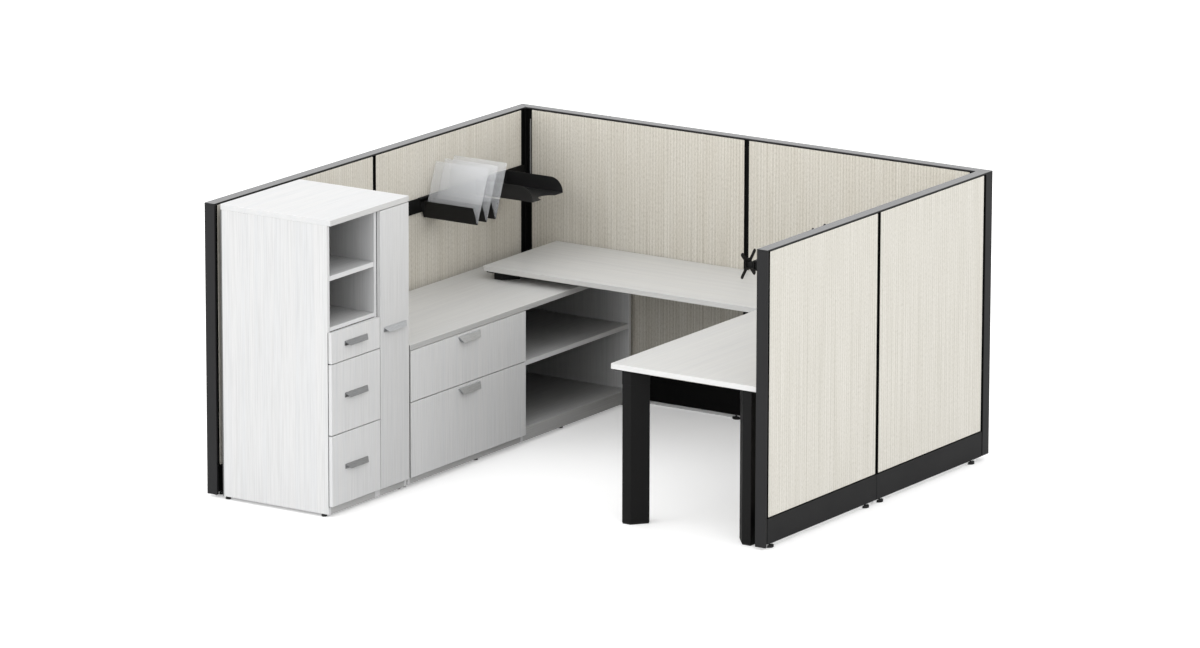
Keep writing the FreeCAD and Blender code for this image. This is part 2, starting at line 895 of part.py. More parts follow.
def trough_end_cut():
    """The wedge cut away at the wall end of the troughs."""
    x0 = hanger_front()
    y0 = trough_near_y - trough_pitch
    span = (trough_count + 2) * trough_pitch
    over = trough_top + overrun
    slope = trough_cut * (trough_cut_drop + overrun) / trough_cut_drop
    return prism([Vector(x0, y0, trough_top - trough_cut_drop), Vector(x0, y0, over),
                  Vector(x0 + slope, y0, over)], Vector(0, span, 0))


def trough_end_plate(near, mid, far):
    """The tapered plate that closes a trough at its wall end."""
    x, half = hanger_front() - hook_metal, trough_fold / 2
    outline = [Vector(x, near, trough_top), Vector(x, mid - half, trough_bottom),
               Vector(x, mid + half, trough_bottom), Vector(x, far, trough_top)]
    return prism(outline, Vector(hook_metal, 0, 0))


def file_sorter():
    """Three V troughs of folded sheet on a hanger."""
    x0, x1 = hanger_front(), trough_reach
    m = trough_metal
    half_fold = trough_fold / 2
    low, high = trough_bottom + m, trough_top - m
    wedge = trough_end_cut()
    solids = []
    for near, mid, far in trough_lines():
        floor = block(x0, x1, mid - half_fold, mid + half_fold, trough_bottom, low)
        near_plate = leaning_plate(x0, x1, mid - half_fold, near, low, high, m)
        far_plate = leaning_plate(x0, x1, mid + half_fold - m, far - m, low, high, m)
        solids += [floor, near_plate.cut(wedge).Solids[0], far_plate.cut(wedge).Solids[0]]
    for near, _, _ in trough_lines()[1:]:
        solids.append(block(x0 + trough_cut, x1, near - m, near + m, high, trough_top))
    last = trough_lines()[-1][2]
    ends = [trough_end_plate(near, mid, far) for near, mid, far in trough_lines()]
    solids.append(one_solid([hanger(trough_near_y, last, trough_top - trough_band)] + ends))
    return solids


def sorter_dividers():
    """A frosted sheet that leans on the far side of each trough."""
    x0, x1 = hanger_front() + sheet_gap, trough_reach
    low = trough_bottom + trough_metal
    solids = []
    for _, mid, far in trough_lines():
        foot = mid + trough_fold / 2 - trough_metal - sheet_thickness
        rest = far - trough_metal - sheet_thickness
        top = foot + (rest - foot) * (sheet_top - low) / (trough_top - low)
        solids.append(leaning_plate(x0, x1, foot, top, low, sheet_top, sheet_thickness))
    return solids


def tray_side(y0):
    """A side wall of the tray with its round front."""
    x0, x1 = hanger_front(), tray_reach
    z0 = tray_floor_z + tray_metal
    z1 = tray_floor_z + tray_wall_height
    start = Vector(x1, y0, z0)
    bend = Vector(x1 - tray_curve_side, y0, z1 - tray_curve_drop)
    end = Vector(x1 - tray_curve_start, y0, z1)
    edges = [Part.Arc(start, bend, end).toShape(),
             Part.LineSegment(end, Vector(x0, y0, z1)).toShape(),
             Part.LineSegment(Vector(x0, y0, z1), Vector(x0, y0, z0)).toShape(),
             Part.LineSegment(Vector(x0, y0, z0), start).toShape()]
    return Part.Face(Part.Wire(edges)).extrude(Vector(0, tray_metal, 0))


def paper_tray():
    """A tray on a hanger, with a finger notch in its floor."""
    x0, x1 = hanger_front(), tray_reach
    y0, y1 = tray_far_y - tray_width, tray_far_y
    floor = block(x0, x1, y0, y1, tray_floor_z, tray_floor_z + tray_metal)
    half = notch_width / 2
    radius = (half ** 2 + notch_depth ** 2) / (notch_depth + notch_depth)
    centre = Vector(x1 - notch_depth + radius, (y0 + y1) / 2, tray_floor_z - overrun)
    notch = rod(centre, Vector(0, 0, 1), radius, tray_metal + overrun + overrun)
    sides = [tray_side(y0), tray_side(y1 - tray_metal)]
    return [floor.cut(notch)] + sides + [hanger(y0, y1, tray_floor_z)]


# Dual monitor arm

UP = Vector(0, 0, 1)


def slab_between(start, end, z0, z1, radius):
    """A flat bar with round ends between two upright axes."""
    span = Vector(end.x - start.x, end.y - start.y, 0)
    side = Vector(-span.y, span.x, 0).normalize() * radius
    lead = Vector(span).normalize() * radius
    a = Vector(start.x, start.y, z0)
    b = Vector(end.x, end.y, z0)
    edges = [Part.LineSegment(a + side, b + side).toShape(),
             Part.Arc(b + side, b + lead, b - side).toShape(),
             Part.LineSegment(b - side, a - side).toShape(),
             Part.Arc(a - side, a - lead, a + side).toShape()]
    return Part.Face(Part.Wire(edges)).extrude(Vector(0, 0, z1 - z0))


def shoulder():
    """The axis of the pole."""
    return Vector(arm_x, arm_y, 0)


def wrist(side):
    """The swivel axis of a head: side is -1 for the left arm, 1 for the right."""
    return Vector(wrist_x, arm_y + side * head_pitch / 2, 0)


def elbow(side):
    """The axis between the two links, on the wing side of the line to the head."""
    span = wrist(side) - shoulder()
    rise = math.sqrt(link_length ** 2 - (span.Length / 2) ** 2)
    across = Vector(-span.y, span.x, 0).normalize() * (-side * rise)
    return shoulder() + span * 0.5 + across


def outer_levels():
    """The bottom and top of both outer links."""
    return arm_level - link_height / 2, arm_level + link_height / 2


def inner_levels(side):
    """The bottom and top of an inner link: the left one runs under the outer links."""
    low, high = outer_levels()
    if side < 0:
        return low - arm_clearance - link_height, low - arm_clearance
    return high + arm_clearance, high + arm_clearance + link_height


def monitor_arm_post():
    """Base, pole, two support rings, and the bolt and washer under the worksurface."""
    at = shoulder()
    lift = surface_height
    pole_foot = lift + base_thickness
    pole_top = inner_levels(1)[1] + pole_top_margin
    base = rod(at + UP * lift, UP, base_radius, base_thickness)
    pole = rod(at + UP * pole_foot, UP, pole_radius, pole_top - pole_foot)
    rings = [rod(at + UP * (inner_levels(side)[0] - arm_clearance - ring_height), UP, ring_radius, ring_height)
             for side in (-1, 1)]
    under = surface_under - washer_thickness
    bolt = rod(at + UP * under, UP, bolt_radius, lift - under)
    washer = rod(at + UP * under, UP, washer_radius, washer_thickness)
    nut = rod(at + UP * (under - nut_height), UP, nut_radius, nut_height)
    return [one_solid([base, pole] + rings + [bolt, washer, nut])]


def inner_link(side):
    """From the pole to the elbow, with the elbow pin."""
    low, high = inner_levels(side)
    bar = slab_between(shoulder(), elbow(side), low, high, link_radius)
    bore = rod(shoulder() + UP * (low - overrun), UP, pole_radius + turning_clearance,
               link_height + overrun + overrun)
    outer_low, outer_high = outer_levels()
    if side < 0:
        pin = rod(elbow(side) + UP * high, UP, pin_radius, outer_high - high)
    else:
        pin = rod(elbow(side) + UP * outer_low, UP, pin_radius, low - outer_low)
    return [one_solid([bar.cut(bore), pin])]


def outer_link(side):
    """From the elbow to the wrist, bored for both pins."""
    low, high = outer_levels()
    bar = slab_between(elbow(side), wrist(side), low, high, link_radius)
    for axis in (elbow(side), wrist(side)):
        bore = rod(axis + UP * (low - overrun), UP, pin_radius + turning_clearance,
                   link_height + overrun + overrun)
        bar = bar.cut(bore)
    return [bar.Solids[0]]


def web_x():
    """The wing-side face of a wrist's web."""
    return wrist_x - link_radius - arm_clearance


def tilt_axis(side):
    """A point on the tilt axis of a head."""
    x = web_x() - knuckle_web - lug_length / 2
    return Vector(x, wrist(side).y, arm_level)


def wrist_knuckle(side):
    """A fork around the end of the outer link, its spindle, and the tilt lug."""
    low, high = outer_levels()
    y = wrist(side).y
    x_back = wrist_x + knuckle_half_width
    y0, y1 = y - knuckle_half_width, y + knuckle_half_width
    top = high + arm_clearance
    bottom = low - arm_clearance
    web_back = web_x()
    web_front = web_back - knuckle_web
    upper = block(web_back, x_back, y0, y1, top, top + knuckle_plate)
    lower = block(web_back, x_back, y0, y1, bottom - knuckle_plate, bottom)
    web = block(web_front, web_back, y0, y1, bottom - knuckle_plate, top + knuckle_plate)
    spindle = rod(wrist(side) + UP * bottom, UP, pin_radius, top - bottom)
    half_lug = lug_width / 2
    half_height = lug_height / 2
    lug = block(web_front - lug_length, web_front, y - half_lug, y + half_lug,
                arm_level - half_height, arm_level + half_height)
    bore = rod(tilt_axis(side) - Vector(0, lug_width, 0), Vector(0, 1, 0),
               tilt_pin_radius + turning_clearance, lug_width + lug_width)
    return [one_solid([upper, lower, web, spindle, lug]).cut(bore).Solids[0]]


def head_x():
    """The monitor-side face of a head plate."""
    return web_x() - knuckle_web - lug_length - head_plate_gap - head_plate


def head_screen_arm(side, way):
    """One diagonal bar of the head plate."""
    reach = hole_pitch / 2 * math.sqrt(2)
    y, z = wrist(side).y, arm_level
    half = head_arm_width / 2
    x0 = head_x()
    bar = block(x0, x0 + head_plate, y - reach, y + reach, z - half, z + half)
    ends = [rod(Vector(x0, y + end * reach, z), Vector(1, 0, 0), half, head_plate) for end in (-1, 1)]
    shape = bar.fuse(ends)
    shape.rotate(Vector(x0, y, z), Vector(1, 0, 0), way * 45)
    return shape


def head_holes(side):
    """The screw holes of both square patterns."""
    holes = []
    for pitch in (hole_pitch, small_hole_pitch):
        half = pitch / 2
        for a in (-half, half):
            for b in (-half, half):
                start = Vector(head_x() - overrun, wrist(side).y + a, arm_level + b)
                holes.append(rod(start, Vector(1, 0, 0), hole_radius, head_plate + overrun + overrun))
    return holes


def monitor_head(side):
    """A crossed plate with two ears and the tilt pin."""
    x0 = head_x()
    x1 = x0 + head_plate
    y, z = wrist(side).y, arm_level
    hub = rod(Vector(x0, y, z), Vector(1, 0, 0), head_hub_radius, head_plate)
    plate = hub.fuse([head_screen_arm(side, 1), head_screen_arm(side, -1)]).cut(Part.makeCompound(head_holes(side)))
    half_lug = lug_width / 2
    half_height = lug_height / 2
    ears = []
    ear_end = tilt_axis(side).x + half_height
    for way in (-1, 1):
        y0 = y + way * (half_lug + ear_gap)
        y1 = y0 + way * ear_thickness
        flat = block(x1, ear_end - half_height, y0, y1, z - half_height, z + half_height)
        nose = rod(Vector(ear_end - half_height, min(y0, y1), z), Vector(0, 1, 0), half_height, ear_thickness)
        ears.append(flat.fuse(nose))
    pin_half = half_lug + ear_gap + ear_thickness
    pin = rod(tilt_axis(side) - Vector(0, pin_half, 0), Vector(0, 1, 0), tilt_pin_radius, pin_half + pin_half)
    return [one_solid([plate] + ears + [pin])]


def arm_nodes():
    """Both arms, each with two links, a knuckle and a head."""
    nodes = {}
    for name, side in (("left_arm", -1), ("right_arm", 1)):
        nodes[name + "_inner_link"] = inner_link(side)
        nodes[name + "_outer_link"] = outer_link(side)
        nodes[name + "_knuckle"] = wrist_knuckle(side)
        nodes[name + "_head"] = monitor_head(side)
    return nodes


def all_nodes():
    """Every named node and its solids."""
    nodes = {
        "back_wall_frames": wall_frames(BACK),
        "left_wing_frames": wall_frames(LEFT),
        "right_wing_frames": wall_frames(RIGHT),
        "back_wall_tiles": wall_tiles(BACK),
        "left_wing_tiles": wall_tiles(LEFT),
        "right_wing_tiles": wall_tiles(RIGHT),
        "panel_top_caps": panel_top_caps(),
        "panel_raceway_covers": panel_raceway_covers(),
        "corner_posts": corner_posts(),
        "end_trims": end_trims(),
        "panel_glides": panel_glides(),
        "tower_upright_panels": tower_upright_panels(),
        "tower_back": tower_back(),
        "tower_base": tower_base(),
        "tower_top": tower_top(),
        "tower_shelves": tower_shelves(),
        "tower_coat_rod": tower_coat_rod(),
        "tower_door": tower_door(),
        "tower_door_pull": tower_door_pull(),
        "door_hinge_cups": door_hinge_cups(),
        "door_hinge_plates": door_hinge_plates(),
        "credenza_upright_panels": credenza_upright_panels(),
        "credenza_back": credenza_back(),
        "credenza_base": credenza_base(),
        "credenza_top": credenza_top(),
        "credenza_shelf": credenza_shelf(),
        "drawer_runners": drawer_runners(),
        "cabinet_glides": cabinet_glides(),
        "bridge_worksurface": bridge_worksurface(),
        "return_worksurface": return_worksurface(),
        "worksurface_legs": worksurface_legs(),
        "fixing_brackets": fixing_brackets(),
        "accessory_rail": accessory_rail(),
        "file_sorter": file_sorter(),
        "sorter_dividers": sorter_dividers(),
        "paper_tray": paper_tray(),
        "monitor_arm_post": monitor_arm_post(),
    }
    nodes.update(all_drawers())
    nodes.update(arm_nodes())
    return nodes


def save(name, solids):
    """Write one node, moved so that the origin is the middle of the footprint."""
    shape = solids[0] if len(solids) == 1 else Part.makeCompound(solids)
    shape.translate(Vector(-room_width / 2, room_depth / 2, 0))
    shape.exportStep("parts/" + name + ".step")


os.makedirs("parts", exist_ok=True)
for node_name, node_solids in all_nodes().items():
    save(node_name, node_solids)
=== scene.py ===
"""Looks for the cubicle workstation: eased boards, woven tiles, coated steel and small fittings.

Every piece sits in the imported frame, in metres. Places are written in millimetres from the
left back corner of the room, with X to the right, Y negative toward the front and Z up.
"""

import logging
import math
from dataclasses import dataclass, field
from enum import Enum
from typing import Callable, Iterable, Sequence

import bmesh
import bpy
from mathutils import Matrix, Vector


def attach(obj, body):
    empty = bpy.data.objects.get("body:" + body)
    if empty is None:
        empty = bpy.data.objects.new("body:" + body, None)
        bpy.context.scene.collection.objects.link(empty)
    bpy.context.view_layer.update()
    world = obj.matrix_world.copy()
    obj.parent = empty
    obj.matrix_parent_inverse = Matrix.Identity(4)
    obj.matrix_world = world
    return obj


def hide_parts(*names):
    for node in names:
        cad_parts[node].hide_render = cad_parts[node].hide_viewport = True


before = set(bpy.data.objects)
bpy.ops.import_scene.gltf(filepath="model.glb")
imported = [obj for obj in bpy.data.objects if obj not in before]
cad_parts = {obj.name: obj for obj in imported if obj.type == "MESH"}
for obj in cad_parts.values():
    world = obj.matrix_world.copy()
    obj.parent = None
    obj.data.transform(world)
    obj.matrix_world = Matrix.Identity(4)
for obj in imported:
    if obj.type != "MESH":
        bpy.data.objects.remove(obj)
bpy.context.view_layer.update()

LOG = logging.getLogger("workstation")
MM = 0.001
ROOM_WIDTH = 2564.4
ROOM_DEPTH = 2519.4
LONG_MODULE = 1219.2
SHORT_MODULE = 914.4
CARCASS_FRONT = 670.0
FACE_BACK = 670.8
FACE_FRONT = 688.8
STATION = "workstation"
UP = Vector((0.0, 0.0, 1.0))
Colour = tuple[float, float, float, float]
Span = tuple[float, float]


def tone(code: str) -> Colour:
    """Turn a six-digit screen colour into linear light.

    Args:
        code: The colour as RRGGBB.

    Returns:
        Red, green, blue and an alpha of one.
    """
    parts = [int(code[i:i + 2], 16) / 255 for i in (0, 2, 4)]
    linear = [c / 12.92 if c <= 0.04045 else ((c + 0.055) / 1.055) ** 2.4 for c in parts]
    return linear[0], linear[1], linear[2], 1.0


def spot(x: float, y: float, z: float) -> Vector:
    """Turn room millimetres, with Z over the floor, into a point of the frame in metres."""
    return Vector(((x - ROOM_WIDTH / 2) * MM, (y + ROOM_DEPTH / 2) * MM, z * MM))


def within(span: Sequence[float], inset: float) -> Span:
    """A span drawn in by the same amount at both ends."""
    return span[0] + inset, span[1] - inset


def about(middle: float, half: float) -> Span:
    """A span that reaches as far to both sides of its middle."""
    return middle - half, middle + half


class Way(Enum):
    """The direction that a grain or a brush line runs in."""

    X = 0
    Y = 1
    Z = 2

    def drawn_out(self, share: float) -> list[float]:
        """Scales that draw a pattern out along this direction."""
        return [share if axis == self.value else 1.0 for axis in range(3)]


@dataclass(frozen=True)
class Layer:
    """A layer of noise: its features per metre, the range that it keeps and its finer layers."""

    scale: float
    low: float
    high: float
    detail: float = 2.0


class NodeBench:
    """A node tree while its nodes are joined up."""

    def __init__(self, tree: bpy.types.NodeTree) -> None:
        """Start with the tree, emptied."""
        self.tree = tree
        self.tree.nodes.clear()

    def fill(self, node: bpy.types.Node, inputs: dict) -> None:
        """Give a node's inputs their values or links.

        Args:
            node: The node.
            inputs: Values or sockets by input name or number.
        """
        for key, value in inputs.items():
            if isinstance(value, bpy.types.NodeSocket):
                self.tree.links.new(value, node.inputs[key])
            else:
                node.inputs[key].default_value = value

    def add(self, kind: str, inputs: dict | None = None, **settings: object) -> bpy.types.Node:
        """Add a node.

        Args:
            kind: The node's type name.
            inputs: Values or sockets by input name or number.
            settings: The node's own properties.

        Returns:
            The new node.
        """
        node = self.tree.nodes.new(kind)
        for key, value in settings.items():
            setattr(node, key, value)
        self.fill(node, inputs or {})
        return node

    def math(self, kind: str, a: object, b: object = 0.0) -> bpy.types.NodeSocket:
        """Join two values or sockets by the named arithmetic."""
        return self.add("ShaderNodeMath", {0: a, 1: b}, operation=kind).outputs[0]

    def times(self, a: object, b: object) -> bpy.types.NodeSocket:
        """The product of two values."""
        return self.math("MULTIPLY", a, b)

    def spread(self, value: object, low: float = 0.0, high: float = 1.0, floor: object = 0.0,
               top: object = 1.0) -> bpy.types.NodeSocket:
        """Map a value from the range low to high onto floor to top, held at the ends."""
        sizes = {"Value": value, "From Min": low, "From Max": high, "To Min": floor, "To Max": top}
        return self.add("ShaderNodeMapRange", sizes).outputs[0]


class Wiring(NodeBench):
    """The nodes of one material, round a principled shader."""

    def __init__(self, name: str) -> None:
        """Start a material.

        Args:
            name: The material's name.
        """
        self.material = bpy.data.materials.new(name)
        self.material.use_nodes = True
        super().__init__(self.material.node_tree)
        self.shader = self.add("ShaderNodeBsdfPrincipled")
        self.add("ShaderNodeOutputMaterial", {"Surface": self.shader.outputs["BSDF"]})
        self.place = self.add("ShaderNodeTexCoord").outputs["Object"]

    def stretched(self, scale: Sequence[float]) -> bpy.types.NodeSocket:
        """Object coordinates scaled along each axis."""
        return self.add("ShaderNodeMapping", {"Vector": self.place, "Scale": tuple(scale)}).outputs[0]

    def noise(self, vector: bpy.types.NodeSocket, scale: float, detail: float = 2.0) -> bpy.types.NodeSocket:
        """Soft noise from zero to one, by its features per metre and its finer layers."""
        return self.add("ShaderNodeTexNoise", {"Vector": vector, "Scale": scale, "Detail": detail}).outputs[0]

    def layer(self, vector: bpy.types.NodeSocket, layer: Layer, top: float = 1.0) -> bpy.types.NodeSocket:
        """One layer of noise, stretched from zero to its top."""
        return self.spread(self.noise(vector, layer.scale, layer.detail), layer.low, layer.high, 0.0, top)

    def blend(self, share: object, a: object, b: object) -> bpy.types.NodeSocket:
        """Mix two colours or sockets by the share of the second one."""
        return self.add("ShaderNodeMix", {0: share, 6: a, 7: b}, data_type="RGBA").outputs[2]

    def relief(self, height: bpy.types.NodeSocket, depth: float, strength: float) -> None:
        """Raise the surface by a height, in metres of depth."""
        bump = self.add("ShaderNodeBump", {"Height": height, "Distance": depth, "Strength": strength})
        self.fill(self.shader, {"Normal": bump.outputs[0]})

    def give(self, **inputs: object) -> bpy.types.Material:
        """Set the shader's inputs, with underscores for spaces, and hand over the material."""
        self.fill(self.shader, {key.replace("_", " "): value for key, value in inputs.items()})
        return self.material


@dataclass(frozen=True)
class Ink:
    """The printed colours of a laminate: its ground, its cool and warm bands and its grain lines."""

    pale: str = "d5d5d5"
    cool: str = "d1d2d3"
    warm: str = "d3d3d2"
    line: str = "b6b6b6"


@dataclass(frozen=True)
class Laminate:
    """A pale printed woodgrain with broad tone bands, fine lines and short pores, with painted shade inside
    cabinets where it is asked for.
    """

    name: str
    grain: Way
    ink: Ink = Ink()
    line_share: float = 0.36
    roughness: float = 0.46
    # deepest, shade_from, shade_length and shade set the painted shade that darkens the inside of a cabinet.
    deepest: float = 1.0
    stretch: float = 0.012
    bands: Layer = Layer(34.0, 0.35, 0.65)
    drift: Layer = Layer(91.8, 0.4, 0.7, 1.0)
    lines: Layer = Layer(310.0, 0.44, 0.66, 3.0)
    pores: Layer = Layer(760.0, 0.55, 0.72)
    drift_top: float = 0.8
    drift_share: float = 0.6
    pore_share: float = 0.8
    pore_depth: float = 0.00006
    pore_strength: float = 0.4
    line_dulling: float = 0.1
    shade_from: float = 690.0
    shade_length: float = 165.0
    shade: Colour = tone("030303")

    def make(self) -> bpy.types.Material:
        """Build the material.

        Returns:
            The material.
        """
        w = Wiring(self.name)
        along = w.stretched(self.grain.drawn_out(self.stretch))
        bands = w.layer(along, self.bands)
        drift = w.layer(along, self.drift, self.drift_top)
        lines = w.layer(along, self.lines, self.line_share)
        pores = w.layer(along, self.pores)
        line = tone(self.ink.line)
        ground = w.blend(bands, tone(self.ink.pale), tone(self.ink.cool))
        ground = w.blend(w.times(drift, self.drift_share), ground, tone(self.ink.warm))
        ground = w.blend(lines, ground, line)
        ground = w.blend(w.times(pores, self.line_share * self.pore_share), ground, line)
        w.relief(w.math("SUBTRACT", 1.0, pores), self.pore_depth, self.pore_strength)
        gloss = w.spread(lines, 0.0, self.line_share, self.roughness, self.roughness + self.line_dulling)
        if self.deepest < 1.0:
            ground = self._paint_shade_inside(w, ground)
        return w.give(Base_Color=ground, Roughness=gloss)

    def _paint_shade_inside(self, w: Wiring, ground: bpy.types.NodeSocket) -> bpy.types.NodeSocket:
        """Paint shade into the colour, darker from a cabinet's front toward its back, where the inside of a
        bay falls into shadow.

        Args:
            w: The material's nodes.
            ground: The colour at the front.

        Returns:
            The shaded colour's socket.
        """
        x = w.add("ShaderNodeSeparateXYZ", {0: w.place}).outputs[0]
        inward = w.math("SUBTRACT", x, spot(self.shade_from, 0.0, 0.0).x)
        depth = w.math("DIVIDE", inward, self.shade_length * MM)
        fall = w.math("MINIMUM", w.math("POWER", math.e, depth), 1.0)
        dark = w.times(w.math("SUBTRACT", 1.0, fall), 1.0 - self.deepest)
        return w.blend(dark, ground, self.shade)


@dataclass(frozen=True)
class Strand:
    """A layer of a weave: its features per metre across and up, the range it keeps and its share."""

    wide: float
    tall: float
    low: float
    high: float
    share: float


@dataclass(frozen=True)
class PanelCloth:
    """A woven panel cloth with upright slubs, on walls that run along X or along Y."""

    name: str
    ground: Colour = tone("d4d0c6")
    light: Colour = tone("dad7cf")
    dark: Colour = tone("989182")
    bands: Strand = Strand(16.0, 2.2, 0.35, 0.65, 0.7)
    stripes: Strand = Strand(190.0, 0.9, 0.4, 0.66, 0.26)
    slubs: Strand = Strand(230.0, 70.0, 0.42, 0.7, 0.28)
    flecks: Strand = Strand(260.0, 300.0, 0.45, 0.7, 0.22)
    rib: float = 0.0165
    rib_low: float = -0.2
    rib_share: float = 0.2
    sway: Span = (30.0, 0.15)
    sway_turns: float = 6.0
    thread: float = 0.0016
    knot_share: float = 0.06
    slub_height: float = 1.5
    thread_depth: float = 0.00025
    thread_strength: float = 0.5
    roughness: float = 0.92
    sheen: float = 0.12
    sheen_roughness: float = 0.5

    def make(self) -> bpy.types.Material:
        """Build the material.

        Returns:
            The material.
        """
        w = Wiring(self.name)
        x, y, z = w.add("ShaderNodeSeparateXYZ", {0: w.place}).outputs
        across = w.math("ADD", x, y)

        def woven(wide: float, tall: float, detail: float = 2.0) -> bpy.types.NodeSocket:
            """Noise on the cloth's own coordinates, scaled across and up."""
            place = w.add("ShaderNodeCombineXYZ", {0: w.times(across, wide), 2: w.times(z, tall)})
            return w.noise(place.outputs[0], 1.0, detail)

        def strand(layer: Strand) -> bpy.types.NodeSocket:
            """The pattern of one layer, from zero to one."""
            return w.spread(woven(layer.wide, layer.tall), layer.low, layer.high)

        slubs = strand(self.slubs)
        sway = w.times(woven(*self.sway, 1.0), self.sway_turns)
        rib = w.math("ADD", w.times(across, 2 * math.pi / self.rib), sway)
        ribs = w.spread(w.math("SINE", rib), self.rib_low)
        warp, weft = (w.math("SINE", w.times(line, 2 * math.pi / self.thread)) for line in (across, z))
        knots = w.times(warp, weft)
        shade = w.times(strand(self.stripes), self.stripes.share)
        for pattern, share in ((ribs, self.rib_share), (slubs, self.slubs.share),
                               (strand(self.flecks), self.flecks.share), (knots, self.knot_share)):
            shade = w.math("ADD", shade, w.times(pattern, share))
        colour = w.blend(w.times(strand(self.bands), self.bands.share), self.ground, self.light)
        height = w.math("ADD", knots, w.times(slubs, self.slub_height))
        w.relief(height, self.thread_depth, self.thread_strength)
        return w.give(Base_Color=w.blend(shade, colour, self.dark), Roughness=self.roughness,
                      Sheen_Weight=self.sheen, Sheen_Roughness=self.sheen_roughness)


@dataclass(frozen=True)
class PowderCoat:
    """A satin coat on steel, with a fine even texture and slow changes of gloss."""

    name: str
    colour: Colour
    roughness: float = 0.42
    specular: float = 0.5
    texture_scale: float = 1500.0
    texture_depth: float = 0.00004
    texture_strength: float = 0.5
    speck: Span = (0.4, 0.7)
    speck_share: float = 0.5
    lighter: float = 1.35
    lift: float = 0.002
    slow_scale: float = 3.0
    slow: Span = (0.3, 0.7)
    glossier: float = 0.04
    duller: float = 0.05

    def make(self) -> bpy.types.Material:
        """Build the material.

        Returns:
            The material.
        """
        w = Wiring(self.name)
        texture = w.noise(w.place, self.texture_scale)
        gloss = w.spread(w.noise(w.place, self.slow_scale), *self.slow, self.roughness - self.glossier,
                         self.roughness + self.duller)
        lighter = tuple(min(1.0, c * self.lighter + self.lift) for c in self.colour[:3]) + (1.0,)
        speck = w.spread(texture, *self.speck, 0.0, self.speck_share)
        w.relief(texture, self.texture_depth, self.texture_strength)
        return w.give(Base_Color=w.blend(speck, self.colour, lighter), Roughness=gloss,
                      Specular_IOR_Level=self.specular)


@dataclass(frozen=True)
class BrushedMetal:
    """Bare or plated metal with brush lines along one direction."""

    name: str
    colour: Colour
    brush: Way
    roughness: float = 0.34
    stretch: float = 0.03
    line_scale: float = 900.0
    line_detail: float = 3.0
    line_depth: float = 0.00002
    line_strength: float = 0.5
    line_tone: Span = (0.35, 0.65)
    line_gloss: Span = (0.3, 0.7)
    darker: float = 0.8
    glossier: float = 0.05
    duller: float = 0.1

    def make(self) -> bpy.types.Material:
        """Build the material.

        Returns:
            The material.
        """
        w = Wiring(self.name)
        lines = w.noise(w.stretched(self.brush.drawn_out(self.stretch)), self.line_scale, self.line_detail)
        darker = tuple(c * self.darker for c in self.colour[:3]) + (1.0,)
        colour = w.blend(w.spread(lines, *self.line_tone), self.colour, darker)
        gloss = w.spread(lines, *self.line_gloss, self.roughness - self.glossier,
                         self.roughness + self.duller)
        w.relief(lines, self.line_depth, self.line_strength)
        return w.give(Base_Color=colour, Roughness=gloss, Metallic=1.0)


@dataclass(frozen=True)
class Moulding:
    """Moulded plastic or rubber with a fine spark texture."""

    name: str
    colour: Colour
    roughness: float = 0.55
    spark_scale: float = 2200.0
    spark_depth: float = 0.00003
    spark_strength: float = 0.4
    spark: Span = (0.3, 0.7)
    paler: float = 1.2
    lift: float = 0.002

    def make(self) -> bpy.types.Material:
        """Build the material.

        Returns:
            The material.
        """
        w = Wiring(self.name)
        spark = w.noise(w.place, self.spark_scale, 1.0)
        w.relief(spark, self.spark_depth, self.spark_strength)
        paler = tuple(c * self.paler + self.lift for c in self.colour[:3]) + (1.0,)
        colour = w.blend(w.spread(spark, *self.spark), self.colour, paler)
        return w.give(Base_Color=colour, Roughness=self.roughness)


@dataclass(frozen=True)
class FrostedSheet:
    """A translucent frosted sheet with a faint clouding."""

    name: str
    colour: Colour = tone("d8dadd")
    clouded: Colour = tone("f6f7f8")
    cloud: Layer = Layer(40.0, 0.3, 0.7, 3.0)
    cloud_share: float = 0.4
    frost_scale: float = 2600.0
    frost_depth: float = 0.00002
    frost_strength: float = 0.4
    cover: float = 0.28
    roughness: float = 0.6
    specular: float = 0.1

    def make(self) -> bpy.types.Material:
        """Build the material.

        Returns:
            The material.
        """
        w = Wiring(self.name)
        paler = w.blend(w.layer(w.place, self.cloud, self.cloud_share), self.colour, self.clouded)
        w.relief(w.noise(w.place, self.frost_scale, 1.0), self.frost_depth, self.frost_strength)
        return w.give(Base_Color=paler, Roughness=self.roughness, Specular_IOR_Level=self.specular,
                      Alpha=self.cover)


@dataclass(frozen=True)
class DrawerBoard:
    """Pale lacquered plywood for drawer boxes, with grain along one direction."""

    name: str
    grain: Way
    pale: Colour = tone("e4dccb")
    dark: Colour = tone("c9bca3")
    stretch: float = 0.05
    figure: Layer = Layer(24.0, 0.35, 0.7, 4.0)
    figure_share: float = 0.8
    pore_scale: float = 420.0
    pore: Span = (0.55, 0.75)
    pore_share: float = 0.35
    pore_depth: float = 0.00004
    pore_strength: float = 0.3
    roughness: float = 0.5

    def make(self) -> bpy.types.Material:
        """Build the material.

        Returns:
            The material.
        """
        w = Wiring(self.name)
        along = w.stretched(self.grain.drawn_out(self.stretch))
        pores = w.noise(along, self.pore_scale)
        colour = w.blend(w.layer(along, self.figure, self.figure_share), self.pale, self.dark)
        colour = w.blend(w.spread(pores, *self.pore, 0.0, self.pore_share), colour, self.dark)
        w.relief(pores, self.pore_depth, self.pore_strength)
        return w.give(Base_Color=colour, Roughness=self.roughness)


